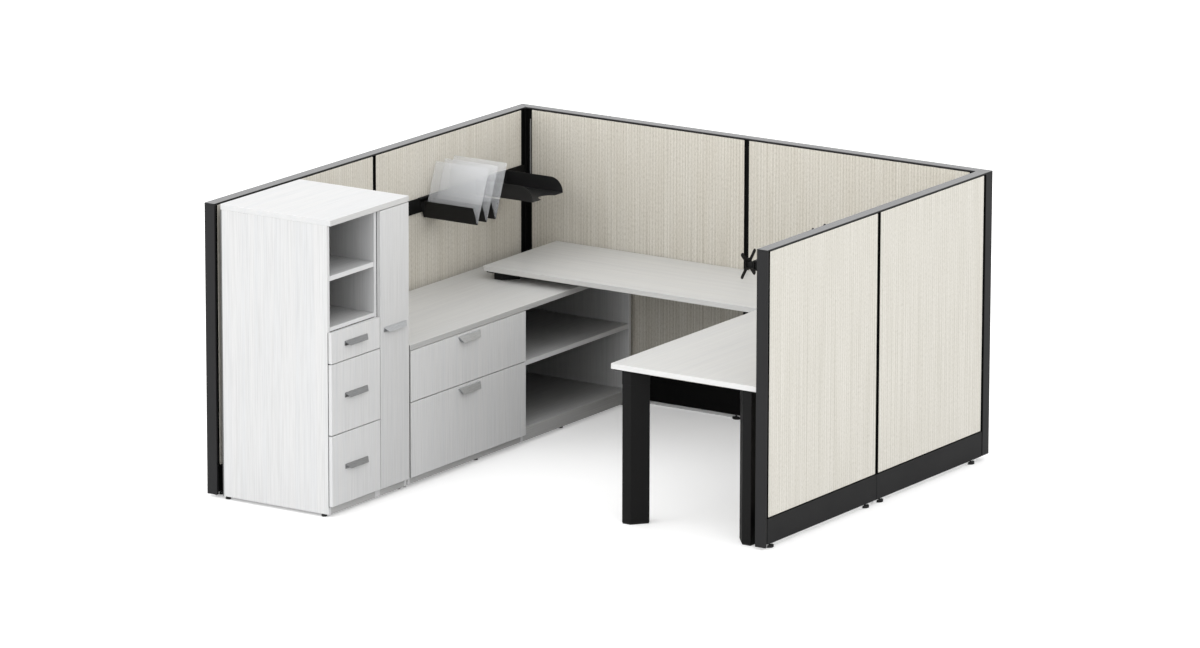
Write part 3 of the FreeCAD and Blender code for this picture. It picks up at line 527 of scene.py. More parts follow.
class Finishes:
    """Every finish of the workstation, made once."""

    def __init__(self) -> None:
        """Build the materials."""
        # The worktop laminate is greyer than the boards and darkened further as painted shade from the walls;
        # its paler edge copy is painted light on the return's edges.
        worktop = Ink("cdcdcb", "c7c7c6", "cac9c6")
        worktop_lit_edge = Ink("dcdcdb", "d6d6d6", "d9d9d7")
        # Darker copies of the laminate: band for kicks and front edges, rim for the tower top's front edge,
        # door for the wardrobe door; all painted shade.
        band = Ink("b6b6b5", "b1b1b1", "b3b3b1", "9a9a9a")
        rim = Ink("c8c8c7", "c3c3c3", "c5c5c3", "acacac")
        door = Ink("cfcfcf", "cbcccd", "cdcdcc", "b0b0b0")
        # A dark grey copy of the laminate for the back boards: painted shade at the back of the bays.
        grey = Ink("6a6a6b", "636465", "686867", "525253")
        # Two copies of one cloth: the darker one inside the room is painted shade, the paler one on the outer
        # faces painted light.
        self.cloth = PanelCloth("panel_cloth").make()
        self.cloth_lit_outside = PanelCloth("panel_cloth_lit_outside", tone("dad7cf"), tone("e0ddd6"),
                                        tone("aaa698")).make()
        self.upright = Laminate("laminate_upright", Way.Z).make()
        self.level = Laminate("laminate_level", Way.Y, line_share=0.16).make()
        # Copies of the laminate with painted shade, darker toward the back of the bays.
        self.upright_painted_shade = Laminate("laminate_upright_painted_shade", Way.Z, deepest=0.3).make()
        self.level_painted_shade = Laminate("laminate_level_painted_shade", Way.Y, deepest=0.3).make()
        self.band = Laminate("laminate_band_painted_shade", Way.Y, band).make()
        self.rim = Laminate("laminate_rim_painted_shade", Way.Y, rim, 0.2).make()
        self.door = Laminate("laminate_door_painted_shade", Way.Z, door).make()
        self.grey = Laminate("laminate_grey", Way.Z, grey).make()
        self.top_y = Laminate("worktop_along_y", Way.Y, worktop, 0.13, 0.4).make()
        self.top_x = Laminate("worktop_along_x", Way.X, worktop, 0.13, 0.4).make()
        self.edge = Laminate("worktop_lit_edge", Way.X, worktop_lit_edge, 0.12, 0.4).make()
        self.charcoal = PowderCoat("charcoal_coat", tone("232324"), 0.5, 0.25).make()
        self.raceway = PowderCoat("raceway_coat", tone("1b1b1c"), 0.5, 0.22).make()
        self.bead = PowderCoat("corner_bead_coat", tone("8e8e8e"), 0.4).make()
        # A near-white coat for the rails under the walls; in their shade they stand in for the shaded floor
        # there.
        self.floor_shade = PowderCoat("sole_rail_coat", tone("f0f0f0"), 0.6, 0.2).make()
        self.satin = PowderCoat("satin_black_coat", tone("1d1d1e"), 0.36, 0.45).make()
        # A grey coat paler than the charcoal, for the tops of the caps: painted light where they catch the
        # bright sky.
        self.cap = PowderCoat("cap_top_lit_coat", tone("6a6a6b"), 0.22, 0.7).make()
        self.black = PowderCoat("black_coat", tone("101010"), 0.46, 0.18).make()
        self.shadow = PowderCoat("shadow_coat", tone("0c0c0c"), 0.6, 0.12).make()
        self.nickel = BrushedMetal("satin_nickel", tone("a4a5a6"), Way.Y).make()
        # A paler copy of the satin nickel for the credenza and door pulls: painted light where they catch
        # more light.
        self.nickel_lit = BrushedMetal("satin_nickel_pale", tone("d2d4d6"), Way.Y, 0.42).make()
        self.zinc_x = BrushedMetal("zinc_along_x", tone("b4b7ba"), Way.X, 0.3).make()
        self.zinc_y = BrushedMetal("zinc_along_y", tone("b4b7ba"), Way.Y, 0.3).make()
        self.plastic = Moulding("black_plastic", tone("131314")).make()
        self.frosted = FrostedSheet("frosted_sheet").make()
        self.birch = DrawerBoard("drawer_board_along_x", Way.X).make()


@dataclass(frozen=True)
class Ease:
    """How sharp edges are rounded: the radius in millimetres and the faces across it."""

    radius: float = 0.8
    steps: int = 2


SHARP = Ease(0.0)
BENT_OVER = 32.0
TURNED_CREASE = 35.0
MERGE_REACH = 0.01
FLAT_WITHIN = 0.6
COPY_BENT_OVER = 40.0
COPY_CREASE = 24.0


def round_edges(shape: bmesh.types.BMesh, ease: Ease, bend: float) -> None:
    """Round the edges of a shape where its faces meet at an angle.

    Args:
        shape: The shape, in metres.
        ease: How its edges are rounded.
        bend: The smallest angle that is rounded, in degrees.
    """
    sharp = [edge for edge in shape.edges if edge.calc_face_angle(0.0) > math.radians(bend)]
    bmesh.ops.bevel(shape, geom=sharp, offset=ease.radius * MM, segments=ease.steps, profile=0.5,
                    affect="EDGES", clamp_overlap=True)


def join_rings(shape: bmesh.types.BMesh, rings: Sequence[Sequence[bmesh.types.BMVert]],
               smooth: bool = False) -> None:
    """Close the strips between rings of points with faces.

    Args:
        shape: The shape that takes the faces.
        rings: The rings in order, each with the same number of points.
        smooth: Whether the faces are shaded as one curve.
    """
    for low, high in zip(rings, rings[1:]):
        for i in range(len(low)):
            j = (i + 1) % len(low)
            shape.faces.new([low[i], low[j], high[j], high[i]]).smooth = smooth


class Stock:
    """Shapes gathered into one mesh, in room millimetres until they are added."""

    def __init__(self) -> None:
        """Start with an empty mesh."""
        self.bm = bmesh.new()

    def take(self, shape: bmesh.types.BMesh, ease: Ease, finish: int = 0) -> None:
        """Ease a shape's sharp edges and add it.

        Args:
            shape: The closed shape, in metres.
            ease: How its edges are rounded.
            finish: The material number of its faces.
        """
        bmesh.ops.recalc_face_normals(shape, faces=shape.faces)
        if ease.radius > 0:
            round_edges(shape, ease, BENT_OVER)
        for face in shape.faces:
            face.material_index = finish
        part = bpy.data.meshes.new("part")
        shape.to_mesh(part)
        shape.free()
        self.bm.from_mesh(part)
        bpy.data.meshes.remove(part)

    def loft(self, rings: Sequence[Sequence[Vector]], ease: Ease, finish: int = 0) -> None:
        """Add a solid that passes through rings of points.

        Args:
            rings: The rings in order, in metres.
            ease: How its edges are rounded.
            finish: The material number.
        """
        shape = bmesh.new()
        points = [[shape.verts.new(p) for p in ring] for ring in rings]
        shape.faces.new(points[0])
        shape.faces.new(list(reversed(points[-1])))
        join_rings(shape, points)
        self.take(shape, ease, finish)

    def box(self, x: Sequence[float], y: Sequence[float], z: Sequence[float], ease: Ease = Ease(),
            finish: int = 0) -> None:
        """Add a box by its two ends along each axis.

        Args:
            x: Its left and right ends, in room millimetres.
            y: Its near and far ends.
            z: Its foot and head.
            ease: How its edges are rounded.
            finish: The material number.
        """
        (x0, x1), (y0, y1), heights = sorted(x), sorted(y), sorted(z)
        ring = ((x0, y0), (x1, y0), (x1, y1), (x0, y1))
        self.hexahedron([spot(a, b, h) for h in heights for a, b in ring], ease, finish)

    def hexahedron(self, corners: Sequence[Vector], ease: Ease = Ease(), finish: int = 0) -> None:
        """Add a solid with six faces.

        Args:
            corners: Four points round the bottom, then the four over them.
            ease: How its edges are rounded.
            finish: The material number.
        """
        shape = bmesh.new()
        v = [shape.verts.new(c) for c in corners]
        for ring in ((0, 1, 2, 3), (4, 5, 6, 7), (0, 1, 5, 4), (1, 2, 6, 5), (2, 3, 7, 6), (3, 0, 4, 7)):
            shape.faces.new([v[i] for i in ring])
        self.take(shape, ease, finish)

    def prism(self, outline: Sequence[Vector], travel: Vector, ease: Ease = Ease(), finish: int = 0) -> None:
        """Add a closed outline pushed along a vector, both in metres."""
        self.loft([outline, [p + travel for p in outline]], ease, finish)

    def turned(self, foot: Vector, way: Vector, profile: Sequence[Span], sides: int = 32,
               finish: int = 0) -> None:
        """Add a turned shape.

        Args:
            foot: Where its axis starts, in metres.
            way: The direction of its axis.
            profile: Radius and height pairs from the foot to the head, in millimetres.
            sides: The faces round it.
            finish: The material number.
        """
        shape = bmesh.new()
        turn = UP.rotation_difference(way.normalized()).to_matrix()
        rings = []
        for radius, height in profile:
            ring = []
            for i in range(sides):
                a = 2 * math.pi * i / sides
                place = Vector((radius * MM * math.cos(a), radius * MM * math.sin(a), height * MM))
                ring.append(shape.verts.new(foot + turn @ place))
            rings.append(ring)
        join_rings(shape, rings, True)
        shape.faces.new(list(reversed(rings[0])))
        shape.faces.new(rings[-1])
        for edge in shape.edges:
            edge.smooth = edge.calc_face_angle(0.0) < math.radians(TURNED_CREASE)
        self.take(shape, SHARP, finish)

    def mark(self, finish: int, belongs: Callable[[bmesh.types.BMFace], bool]) -> None:
        """Give some faces another finish.

        Args:
            finish: The material number that they get.
            belongs: Whether a face is one of them.
        """
        for face in self.bm.faces:
            if belongs(face):
                face.material_index = finish

    def mesh(self, name: str) -> bpy.types.Mesh:
        """Finish the mesh.

        Args:
            name: The mesh's name.

        Returns:
            The mesh, with every face pointing outwards.
        """
        made = bpy.data.meshes.new(name)
        self.bm.to_mesh(made)
        self.bm.free()
        return made

    def place(self, name: str, finishes: Iterable[bpy.types.Material], body: str, slot: str,
              *stands_for: str) -> None:
        """Finish the mesh and place it on its body, in place of the CAD nodes named last."""
        put(name, self.mesh(name), finishes, body, slot, stands_for)


def put(name: str, mesh: bpy.types.Mesh, finishes: Iterable[bpy.types.Material], body: str, slot: str,
        stands_for: Sequence[str] = ()) -> None:
    """Place a finished mesh on its body.

    Args:
        name: The piece's name.
        mesh: Its mesh, already in place.
        finishes: Its materials, in the order of their numbers.
        body: The body that it rides on.
        slot: The record's material slot; not used.
        stands_for: The CAD nodes that it replaces.
    """
    piece = bpy.data.objects.new(name, mesh)
    bpy.context.scene.collection.objects.link(piece)
    if mesh.materials:
        mesh.materials.clear()
    for finish in finishes:
        mesh.materials.append(finish)
    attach(piece, body)
    if stands_for:
        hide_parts(*stands_for)
    LOG.info("%s rides on %s, %d faces", name, body, len(mesh.polygons))


def paint(node: str, finish: bpy.types.Material) -> None:
    """Give a carried-over CAD node its finish.

    Args:
        node: The node's name.
        finish: The material.
    """
    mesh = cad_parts[node].data
    mesh.materials.clear()
    mesh.materials.append(finish)
    LOG.info("%s keeps its shape", node)


def eased_copy(node: str, name: str, radius: float, finish: bpy.types.Material, body: str) -> None:
    """Replace a CAD node of black metal by a copy of itself with eased edges.

    Args:
        node: The node to copy.
        name: The piece's name.
        radius: The radius of its edges, in millimetres.
        finish: Its material.
        body: The body that it rides on.
    """
    shape = bmesh.new()
    shape.from_mesh(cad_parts[node].data)
    bmesh.ops.remove_doubles(shape, verts=shape.verts, dist=MERGE_REACH * MM)
    bmesh.ops.dissolve_limit(shape, angle_limit=math.radians(FLAT_WITHIN), verts=shape.verts,
                             edges=shape.edges)
    round_edges(shape, Ease(radius), COPY_BENT_OVER)
    for face in shape.faces:
        face.smooth = True
    for edge in shape.edges:
        edge.smooth = edge.is_manifold and edge.calc_face_angle(0.0) < math.radians(COPY_CREASE)
    mesh = bpy.data.meshes.new(name)
    shape.to_mesh(mesh)
    shape.free()
    put(name, mesh, [finish], body, "black_metal", [node])


class PointsTree:
    """A geometry tree that turns the points of a mesh into one painted mesh."""

    def __init__(self, name: str, sockets: dict[str, str]) -> None:
        """Start the tree with its named inputs.

        Args:
            name: The tree's name.
            sockets: The kind of each input by its name, with the points first.
        """
        self.group = bpy.data.node_groups.new(name, "GeometryNodeTree")
        for label, kind in {**sockets, "Finish": "Material"}.items():
            self.group.interface.new_socket(label, in_out="INPUT", socket_type="NodeSocket" + kind)
        self.group.interface.new_socket("Made", in_out="OUTPUT", socket_type="NodeSocketGeometry")
        self.bench = NodeBench(self.group)
        self.given = self.bench.add("NodeGroupInput").outputs

    def on_points(self, points: bpy.types.NodeSocket, instance: bpy.types.NodeSocket,
                  **turned: object) -> bpy.types.NodeSocket:
        """Set a shape on points as real geometry.

        Args:
            points: The points.
            instance: The shape.
            turned: The shapes' rotation and scale, where they have them.

        Returns:
            The geometry's socket.
        """
        inputs = {"Points": points, "Instance": instance, **turned}
        copies = self.bench.add("GeometryNodeInstanceOnPoints", inputs)
        return self.bench.add("GeometryNodeRealizeInstances", {0: copies.outputs[0]}).outputs[0]

    def close(self, made: bpy.types.NodeSocket) -> None:
        """Paint the geometry and end the tree.

        Args:
            made: The geometry's socket.
        """
        inputs = {"Geometry": made, "Material": self.given["Finish"]}
        painted = self.bench.add("GeometryNodeSetMaterial", inputs)
        self.bench.add("NodeGroupOutput", {0: painted.outputs[0]})

    def evaluate(self, name: str, seeds: bpy.types.Mesh, values: dict) -> bpy.types.Mesh:
        """Run the tree on the points of a mesh.

        Args:
            name: The result's name.
            seeds: The mesh with the points.
            values: The tree's inputs by name.

        Returns:
            A plain mesh.
        """
        holder = bpy.data.objects.new(name + "_holder", seeds)
        bpy.context.scene.collection.objects.link(holder)
        modifier = holder.modifiers.new(self.group.name, "NODES")
        modifier.node_group = self.group
        for item in self.group.interface.items_tree:
            if item.in_out == "INPUT" and item.name in values:
                modifier[item.identifier] = values[item.name]
        bpy.context.view_layer.update()
        graph = bpy.context.evaluated_depsgraph_get()
        made = bpy.data.meshes.new_from_object(holder.evaluated_get(graph))
        made.name = name
        bpy.data.objects.remove(holder)
        return made


def points_mesh(name: str, places: Iterable[Vector]) -> bpy.types.Mesh:
    """A mesh of loose points.

    Args:
        name: The mesh's name.
        places: The points, in metres.

    Returns:
        The mesh.
    """
    seeds = bpy.data.meshes.new(name)
    seeds.from_pydata([tuple(p) for p in places], [], [])
    return seeds


class RepeatTree(PointsTree):
    """A tree that sets one shape on every point of a mesh, turned to the point's aim."""

    def __init__(self) -> None:
        """Build the tree."""
        super().__init__("set_on_points", {"Points": "Geometry", "Shape": "Object", "Size": "Float"})
        aim = self.bench.add("GeometryNodeInputNamedAttribute", {"Name": "aim"}, data_type="FLOAT_VECTOR")
        turn = self.bench.add("FunctionNodeAlignRotationToVector", {"Vector": aim.outputs["Attribute"]},
                              axis="Z")
        shape = self.bench.add("GeometryNodeObjectInfo", {"Object": self.given["Shape"]})
        self.close(self.on_points(self.given["Points"], shape.outputs["Geometry"], Rotation=turn.outputs[0],
                                  Scale=self.given["Size"]))

    def run(self, name: str, places: Sequence[tuple[Vector, Vector]], shape: bpy.types.Object, size: float,
            finish: bpy.types.Material) -> bpy.types.Mesh:
        """Set the shape on each place.

        Args:
            name: The result's name.
            places: A point and an aim for each copy.
            shape: The object to repeat, with its foot at the origin and its head along Z.
            size: The scale of each copy.
            finish: The material.

        Returns:
            A plain mesh.
        """
        seeds = points_mesh(name + "_points", (point for point, _ in places))
        aims = seeds.attributes.new("aim", "FLOAT_VECTOR", "POINT")
        for item, (_, aim) in zip(aims.data, places):
            item.vector = aim
        return self.evaluate(name, seeds, {"Shape": shape, "Size": size, "Finish": finish})


class LadderTree(PointsTree):
    """A tree that stands a ladder of rungs on every point of a mesh."""

    def __init__(self) -> None:
        """Build the tree."""
        super().__init__("ladder_of_rungs",
                         {"Feet": "Geometry", "Count": "Int", "Step": "Vector", "Rung": "Vector"})
        line = self.bench.add("GeometryNodeMeshLine",
                              {"Count": self.given["Count"], "Offset": self.given["Step"]})
        cube = self.bench.add("GeometryNodeMeshCube", {"Size": self.given["Rung"]})
        stand = self.on_points(self.given["Feet"], line.outputs[0])
        self.close(self.on_points(stand, cube.outputs[0]))

    def run(self, name: str, feet: Sequence[Vector], count: int, step: Vector, rung: Vector,
            finish: bpy.types.Material) -> bpy.types.Mesh:
        """Stand a ladder of rungs of one size on every foot, all in metres."""
        values = {"Count": count, "Step": tuple(step), "Rung": tuple(rung), "Finish": finish}
        return self.evaluate(name, points_mesh(name + "_feet", feet), values)


def threads(crest: float, root: float, start: float, turns: int, pitch: float) -> list[Span]:
    """The profile of a screw thread, drawn as rings.

    Args:
        crest: The thread's outer radius.
        root: Its inner radius.
        start: The height of its first groove.
        turns: How many grooves it has.
        pitch: From one groove to the next.

    Returns:
        Radius and height pairs, in millimetres.
    """
    rings = []
    for i in range(turns):
        groove = start + i * pitch
        rings += [(root, groove), (crest, groove + pitch / 3)]
    return rings


class Fittings:
    """Screws, glides and ladders, shared by the sub-assemblies."""

    def __init__(self, finishes: Finishes) -> None:
        """Make the repeated shapes and the trees.

        Args:
            finishes: The workstation's finishes.
        """
        self.finishes = finishes
        self.repeat = RepeatTree()
        self.ladder = LadderTree()
        self.screw = self._shape("screw_shape", [(4.2, -0.6), (4.2, 0.9), (3.4, 1.9), (1.9, 2.3), (1.9, 1.2),
                                                 (0.6, 1.1)], 12)
        panel_foot = [(20.8, 0.0), (22.0, 1.2), (22.0, 9.8), (21.0, 11.0), (13.0, 11.6), (9.5, 12.2),
                      (9.5, 13.0), (6.0, 13.0), (6.0, 14.0), *threads(6.0, 5.2, 14.6, 6, 1.8), (6.0, 27.0)]
        cabinet_foot = [(12.4, 0.0), (13.0, 0.6), (13.0, 8.4), (12.4, 9.0), (8.0, 9.2), (7.5, 9.6),
                        (6.0, 10.2), (5.2, 11.0), (6.0, 11.4), (5.2, 12.6), (6.0, 13.4), (5.2, 14.6),
                        (6.0, 15.4), (6.0, 21.0)]
        self.panel_glide = self._shape("panel_glide_shape", panel_foot, 28)
        self.cabinet_glide = self._shape("cabinet_glide_shape", cabinet_foot, 24)

    @staticmethod
    def _shape(name: str, profile: Sequence[Span], sides: int) -> bpy.types.Object:
        """Make an unlinked turned object round the origin.

        Args:
            name: The object's name.
            profile: Radius and height pairs, in millimetres.
            sides: The faces round it.

        Returns:
            The object.
        """
        stock = Stock()
        stock.turned(Vector(), UP, profile, sides)
        return bpy.data.objects.new(name, stock.mesh(name))

    def screws(self, name: str, places: Sequence[tuple[Vector, Vector]], body: str, slot: str,
               size: float = 1.0) -> None:
        """Set screws at points on a surface, each with its head along the point's aim."""
        mesh = self.repeat.run(name, places, self.screw, size, self.finishes.zinc_y)
        put(name, mesh, [self.finishes.zinc_y], body, slot)

    def glides(self, name: str, places: Iterable[Span], shape: bpy.types.Object, node: str) -> None:
        """Set levelling glides on the floor.

        Args:
            name: The piece's name.
            places: Room X and Y of each glide.
            shape: The glide.
            node: The CAD node that they replace.
        """
        points = [(spot(x, y, 0.0), UP) for x, y in places]
        mesh = self.repeat.run(name, points, shape, 1.0, self.finishes.plastic)
        put(name, mesh, [self.finishes.plastic], STATION, "black_plastic", [node])


@dataclass
class Assembly:
    """A part of the workstation, with the finishes and fittings that all of them share."""

    finishes: Finishes
    fittings: Fittings


@dataclass(frozen=True)
class WallLine:
    """One straight wall: where it starts, which way it runs and which way is inside."""

    name: str
    corner: Span
    along: Span
    inward: Span
    module: float
    trimmed: bool

    def flat(self, a: float, d: float) -> Span:
        """Room X and Y at a distance along the wall and a depth from its outer face."""
        return (self.corner[0] + self.along[0] * a + self.inward[0] * d,
                self.corner[1] + self.along[1] * a + self.inward[1] * d)

    def box(self, stock: Stock, a: Span, d: Span, z: Span, ease: Ease = Ease(), finish: int = 0) -> None:
        """Add a box by distance along the wall, depth and height."""
        p, q = self.flat(a[0], d[0]), self.flat(a[1], d[1])
        stock.box((p[0], q[0]), (p[1], q[1]), z, ease, finish)

    def spans(self, start: float) -> list[Span]:
        """The start and end of both modules."""
        return [(start + i * self.module, start + (i + 1) * self.module) for i in range(2)]

    def end(self, start: float) -> float:
        """The end of the last module."""
        return start + 2 * self.module


@dataclass
class PanelWalls(Assembly):
    """The three walls: frames, slotted strips, cloth tiles, raceway covers, caps, posts and trims."""

    post: float = 58.0
    seam: float = 5.0
    thickness: float = 54.0
    height: float = 1346.0
    tile: float = 12.0
    glide_inset: float = 60.0
    cap: float = 14.0
    cap_skin: float = 7.5
    cap_reveal: float = 2.5
    cap_mitre: float = 0.35
    cap_lap: float = 1.0
    cap_rail_gap: float = 0.4
    cloth_inset: float = 12.5
    cloth_corner_inset: float = 26.0
    cloth_lap: float = 0.4
    cloth_tuck: float = 3.0
    pan_depth: float = 1.8
    reveal: float = 5.0
    cover_foot: float = 25.0
    cover_top: float = 141.0
    cover_gap: float = 1.0
    cover_end_gap: float = 6.0
    cover_metal: float = 1.6
    cover_set: float = 0.2
    lip_inset: float = 0.3
    lip_set: float = 0.1
    lip_edge: Ease = Ease(0.4)
    return_set: float = 0.1
    return_metal: float = 1.2
    return_clear: float = 0.5
    rail_foot: float = 2.5
    rail_top: float = 29.0
    rail_depth: Span = (23.0, 31.0)
    rail_inset: float = 12.0
    seal_foot: float = 27.0
    rib_half: float = 0.9
    bead_inset: float = 14.0
    bead_foot: float = 1004.0
    bead_drop: float = 49.0
    bead_half: float = 2.5
    bead_gap: float = 0.2
    bead_proud: float = 5.0
    trim: float = 12.0
    trim_foot: float = 12.0
    strip_foot: float = 14.0
    strip_head: float = 12.0
    strip_lap: float = 8.0
    strip_gap: float = 2.0
    strip_width: float = 8.5
    strip_rail: float = 2.2
    strip_sunk: float = 0.5
    strip_proud: float = 1.2
    slot_pitch: float = 25.4
    rung_proud: float = 0.35
    rung: tuple[float, float, float] = (8.0, 1.6, 9.0)
    walls: tuple[WallLine, ...] = (
        WallLine("back_wall", (0.0, 0.0), (1.0, 0.0), (0.0, -1.0), LONG_MODULE, False),
        WallLine("left_wing", (0.0, 0.0), (0.0, -1.0), (1.0, 0.0), LONG_MODULE, True),
        WallLine("right_wing", (ROOM_WIDTH, 0.0), (0.0, -1.0), (-1.0, 0.0), SHORT_MODULE, True))

    def build(self) -> None:
        """Make every piece of the walls."""
        for wall in self.walls:
            paint(wall.name + "_frames", self.finishes.shadow)
            self._tiles(wall)
            self._strips(wall)
        self._covers()
        self._floor_shade_rails()
        self._caps()
        self._posts()
        self._trims()
        self._glides()

    @property
    def start(self) -> float:
        """Where the first module of each wall starts."""
        return self.post + self.seam

    @property
    def cap_foot(self) -> float:
        """The underside of the cap's skin."""
        return self.height - self.cap_skin

    def modules(self) -> list[tuple[WallLine, Span]]:
        """Every module with its wall."""
        return [(wall, span) for wall in self.walls for span in wall.spans(self.start)]

    def _tiles(self, wall: WallLine) -> None:
        """Cloth-covered tiles in folded steel pans, with painted shade and light: darker cloth inside, paler
        outside, black pans.

        Args:
            wall: The wall that they hang on.
        """
        cloth = Stock()
        z = (self.cover_top + self.reveal, self.cap_foot - self.cap_reveal)
        spans = wall.spans(self.start)
        for i, (a0, a1) in enumerate(spans):
            outer = within((a0, a1), self.cloth_inset)
            from_post = self.cloth_corner_inset if i == 0 else self.cloth_inset
            to_post = self.cloth_inset if wall.trimmed or i + 1 < len(spans) else self.cloth_corner_inset
            inner = (a0 + from_post, a1 - to_post)
            for a, face, way, finish in ((outer, 0.0, 1.0, 2), (inner, self.thickness, -1.0, 0)):
                skin = (face, face + way * (self.pan_depth + self.cloth_tuck))
                pan = (face + way * self.pan_depth, face + way * self.tile)
                wall.box(cloth, within(a, self.cloth_lap), skin, within(z, self.cloth_lap), Ease(2.6, 3),
                         finish)
                wall.box(cloth, a, pan, z, Ease(0.6, 1), 1)
        cloth.place(wall.name + "_cloth_tiles",
                    [self.finishes.cloth, self.finishes.shadow, self.finishes.cloth_lit_outside], STATION,
                    "fabric", wall.name + "_tiles")

    def _strips(self, wall: WallLine) -> None:
        """Slotted strips on the uprights, seen in the gaps between tiles.

        Args:
            wall: The wall that carries them.
        """
        rails = Stock()
        feet = []
        low = self.cover_top + self.strip_foot
        count = int((self.height - self.cap - self.strip_head - low) / self.slot_pitch)
        high = low + (count - 1) * self.slot_pitch
        z = (low - self.strip_lap, high + self.strip_lap)
        for a0, a1 in wall.spans(self.start):
            for edge in (a0 + self.strip_gap, a1 - self.strip_gap - self.strip_width):
                for face, way in ((self.tile, -1.0), (self.thickness - self.tile, 1.0)):
                    depth = (face - way * self.strip_sunk, face + way * self.strip_proud)
                    for side in (edge, edge + self.strip_width - self.strip_rail):
                        wall.box(rails, (side, side + self.strip_rail), depth, z, SHARP)
                    x, y = wall.flat(edge + self.strip_width / 2, face + way * self.rung_proud)
                    feet.append(spot(x, y, low))
        wide, deep, tall = self.rung
        rung = Vector((wide, deep, tall) if wall.along[0] else (deep, wide, tall)) * MM
        name = wall.name + "_slot_rungs"
        rungs = self.fittings.ladder.run(name, feet, count, UP * (self.slot_pitch * MM), rung,
                                         self.finishes.shadow)
        put(name, rungs, [self.finishes.shadow], STATION, "charcoal")
        rails.place(wall.name + "_slot_rails", [self.finishes.shadow], STATION, "charcoal")

    def _covers(self) -> None:
        """Raceway covers with folded lips and returns."""
        stock = Stock()
        z0, z1 = self.cover_foot, self.cover_top
        for wall, (a0, a1) in self.modules():
            last = wall.trimmed and a1 == wall.end(self.start)
            a = (a0 + self.cover_gap, a1 - (self.cover_end_gap if last else self.cover_gap))
            lip_a = within(a, self.lip_inset)
            near, far = self.return_set, self.return_set + self.return_metal
            # Painted shade: the inner covers and every top lip take the black shadow coat; the outer covers
            # keep the raceway coat.
            for face, way, finish in ((0.0, 1.0, 0), (self.thickness, -1.0, 1)):
                skin = (face, face + way * self.cover_metal)
                deep = (face + way * self.cover_set, face + way * self.tile)
                wall.box(stock, a, skin, (z0, z1), Ease(0.7), finish)
                wall.box(stock, lip_a, deep, (z1 - self.cover_metal, z1 - self.lip_set), self.lip_edge, 1)
                wall.box(stock, lip_a, deep, (z0 + self.lip_set, z0 + self.cover_metal), self.lip_edge,
                         finish)
                for side in ((a[0] + near, a[0] + far), (a[1] - far, a[1] - near)):
                    wall.box(stock, side, deep, within((z0, z1), self.return_clear), Ease(0.3, 1), finish)
        stock.place("raceway_cover_skins", [self.finishes.raceway, self.finishes.shadow], STATION, "charcoal",
                    "panel_raceway_covers")

    def _floor_shade_rails(self) -> None:
        """Pale rails between the glides, seen under the covers; they stand in for the shaded floor under the
        walls.
        """
        rails = Stock()
        for wall, span in self.modules():
            wall.box(rails, within(span, self.rail_inset), self.rail_depth, (self.rail_foot, self.rail_top),
                     self.lip_edge)
        rails.place("panel_foot_rails", [self.finishes.floor_shade], STATION, "zinc")

    def _caps(self) -> None:
        """Thin top caps mitred over the posts, on a rail that joins them to the frames."""
        stock = Stock()
        z0 = self.cap_foot
        w, t, p, s = ROOM_WIDTH, self.thickness, self.post, self.seam
        gap = self.cap_mitre
        left_end, right_end = (-(wall.end(self.start) + self.trim) for wall in self.walls[1:])
        outlines = [
            [(gap, 0), (w - gap, 0), (w - p, gap - p), (w - p - s, -t), (p + s, -t), (p, gap - p)],
            [(0, -gap), (p - gap, -p), (t, -p - s), (t, left_end), (0, left_end)],
            [(w, -gap), (w, right_end), (w - t, right_end), (w - t, -p - s), (w - p + gap, -p)]]
        for outline in outlines:
            stock.prism([spot(x, y, z0) for x, y in outline], UP * (self.cap_skin * MM), Ease(1.1, 3))
        depth = within((self.tile, self.thickness - self.tile), self.cap_rail_gap)
        z = (self.height - self.cap - self.cap_lap, z0 + self.cap_lap)
        for wall in self.walls:
            wall.box(stock, (self.start, wall.end(self.start)), depth, z, Ease(0.3, 1))
        # Painted light: the upward faces keep the paler cap coat and every other face takes the charcoal.
        stock.mark(1, lambda face: face.normal.z < 0.5)
        stock.place("mitred_top_caps", [self.finishes.cap, self.finishes.charcoal], STATION, "cap_grey",
                    "panel_top_caps")

    def _posts(self) -> None:
        """Corner posts with rounded edges, the ribbed seals beside them and the beads in the corners."""
        stock = Stock()
        top = self.cap_foot
        p, s = self.post, self.seam
        for x in ((0.0, p), (ROOM_WIDTH - p, ROOM_WIDTH)):
            stock.box(x, (-p, 0.0), (self.cover_foot, top), Ease(2.4, 3))
        # Painted shade: the faces that look into the room take the black shadow coat.
        stock.mark(1, looks_inside)
        back = self.walls[0]
        depth = (self.tile, self.thickness - self.tile)
        z = (self.seal_foot, top)
        for wall, a in [(wall, p) for wall in self.walls] + [(back, back.end(self.start))]:
            wall.box(stock, (a, a + s), depth, z, Ease(0.4), 1)
            for d in depth:
                wall.box(stock, about(a + s / 2, self.rib_half), about(d, self.rib_half), z, Ease(0.5), 1)
        bead = (depth[1] + self.bead_gap, depth[1] + self.bead_proud)
        for a in (back.end(self.start) - self.bead_inset, self.start + self.bead_inset):
            back.box(stock, about(a, self.bead_half), bead, (self.bead_foot, top - self.bead_drop),
                     Ease(0.8, 3), 2)
        stock.place("corner_post_tubes", [self.finishes.charcoal, self.finishes.shadow, self.finishes.bead],
                    STATION, "charcoal", "corner_posts")

    def _trims(self) -> None:
        """Flat end trims with soft edges."""
        stock = Stock()
        for wall in self.walls[1:]:
            end = wall.end(self.start)
            wall.box(stock, (end, end + self.trim), (0.0, self.thickness), (self.trim_foot, self.cap_foot),
                     Ease(1.6, 3))
        stock.place("wing_end_trims", [self.finishes.charcoal], STATION, "charcoal", "end_trims")

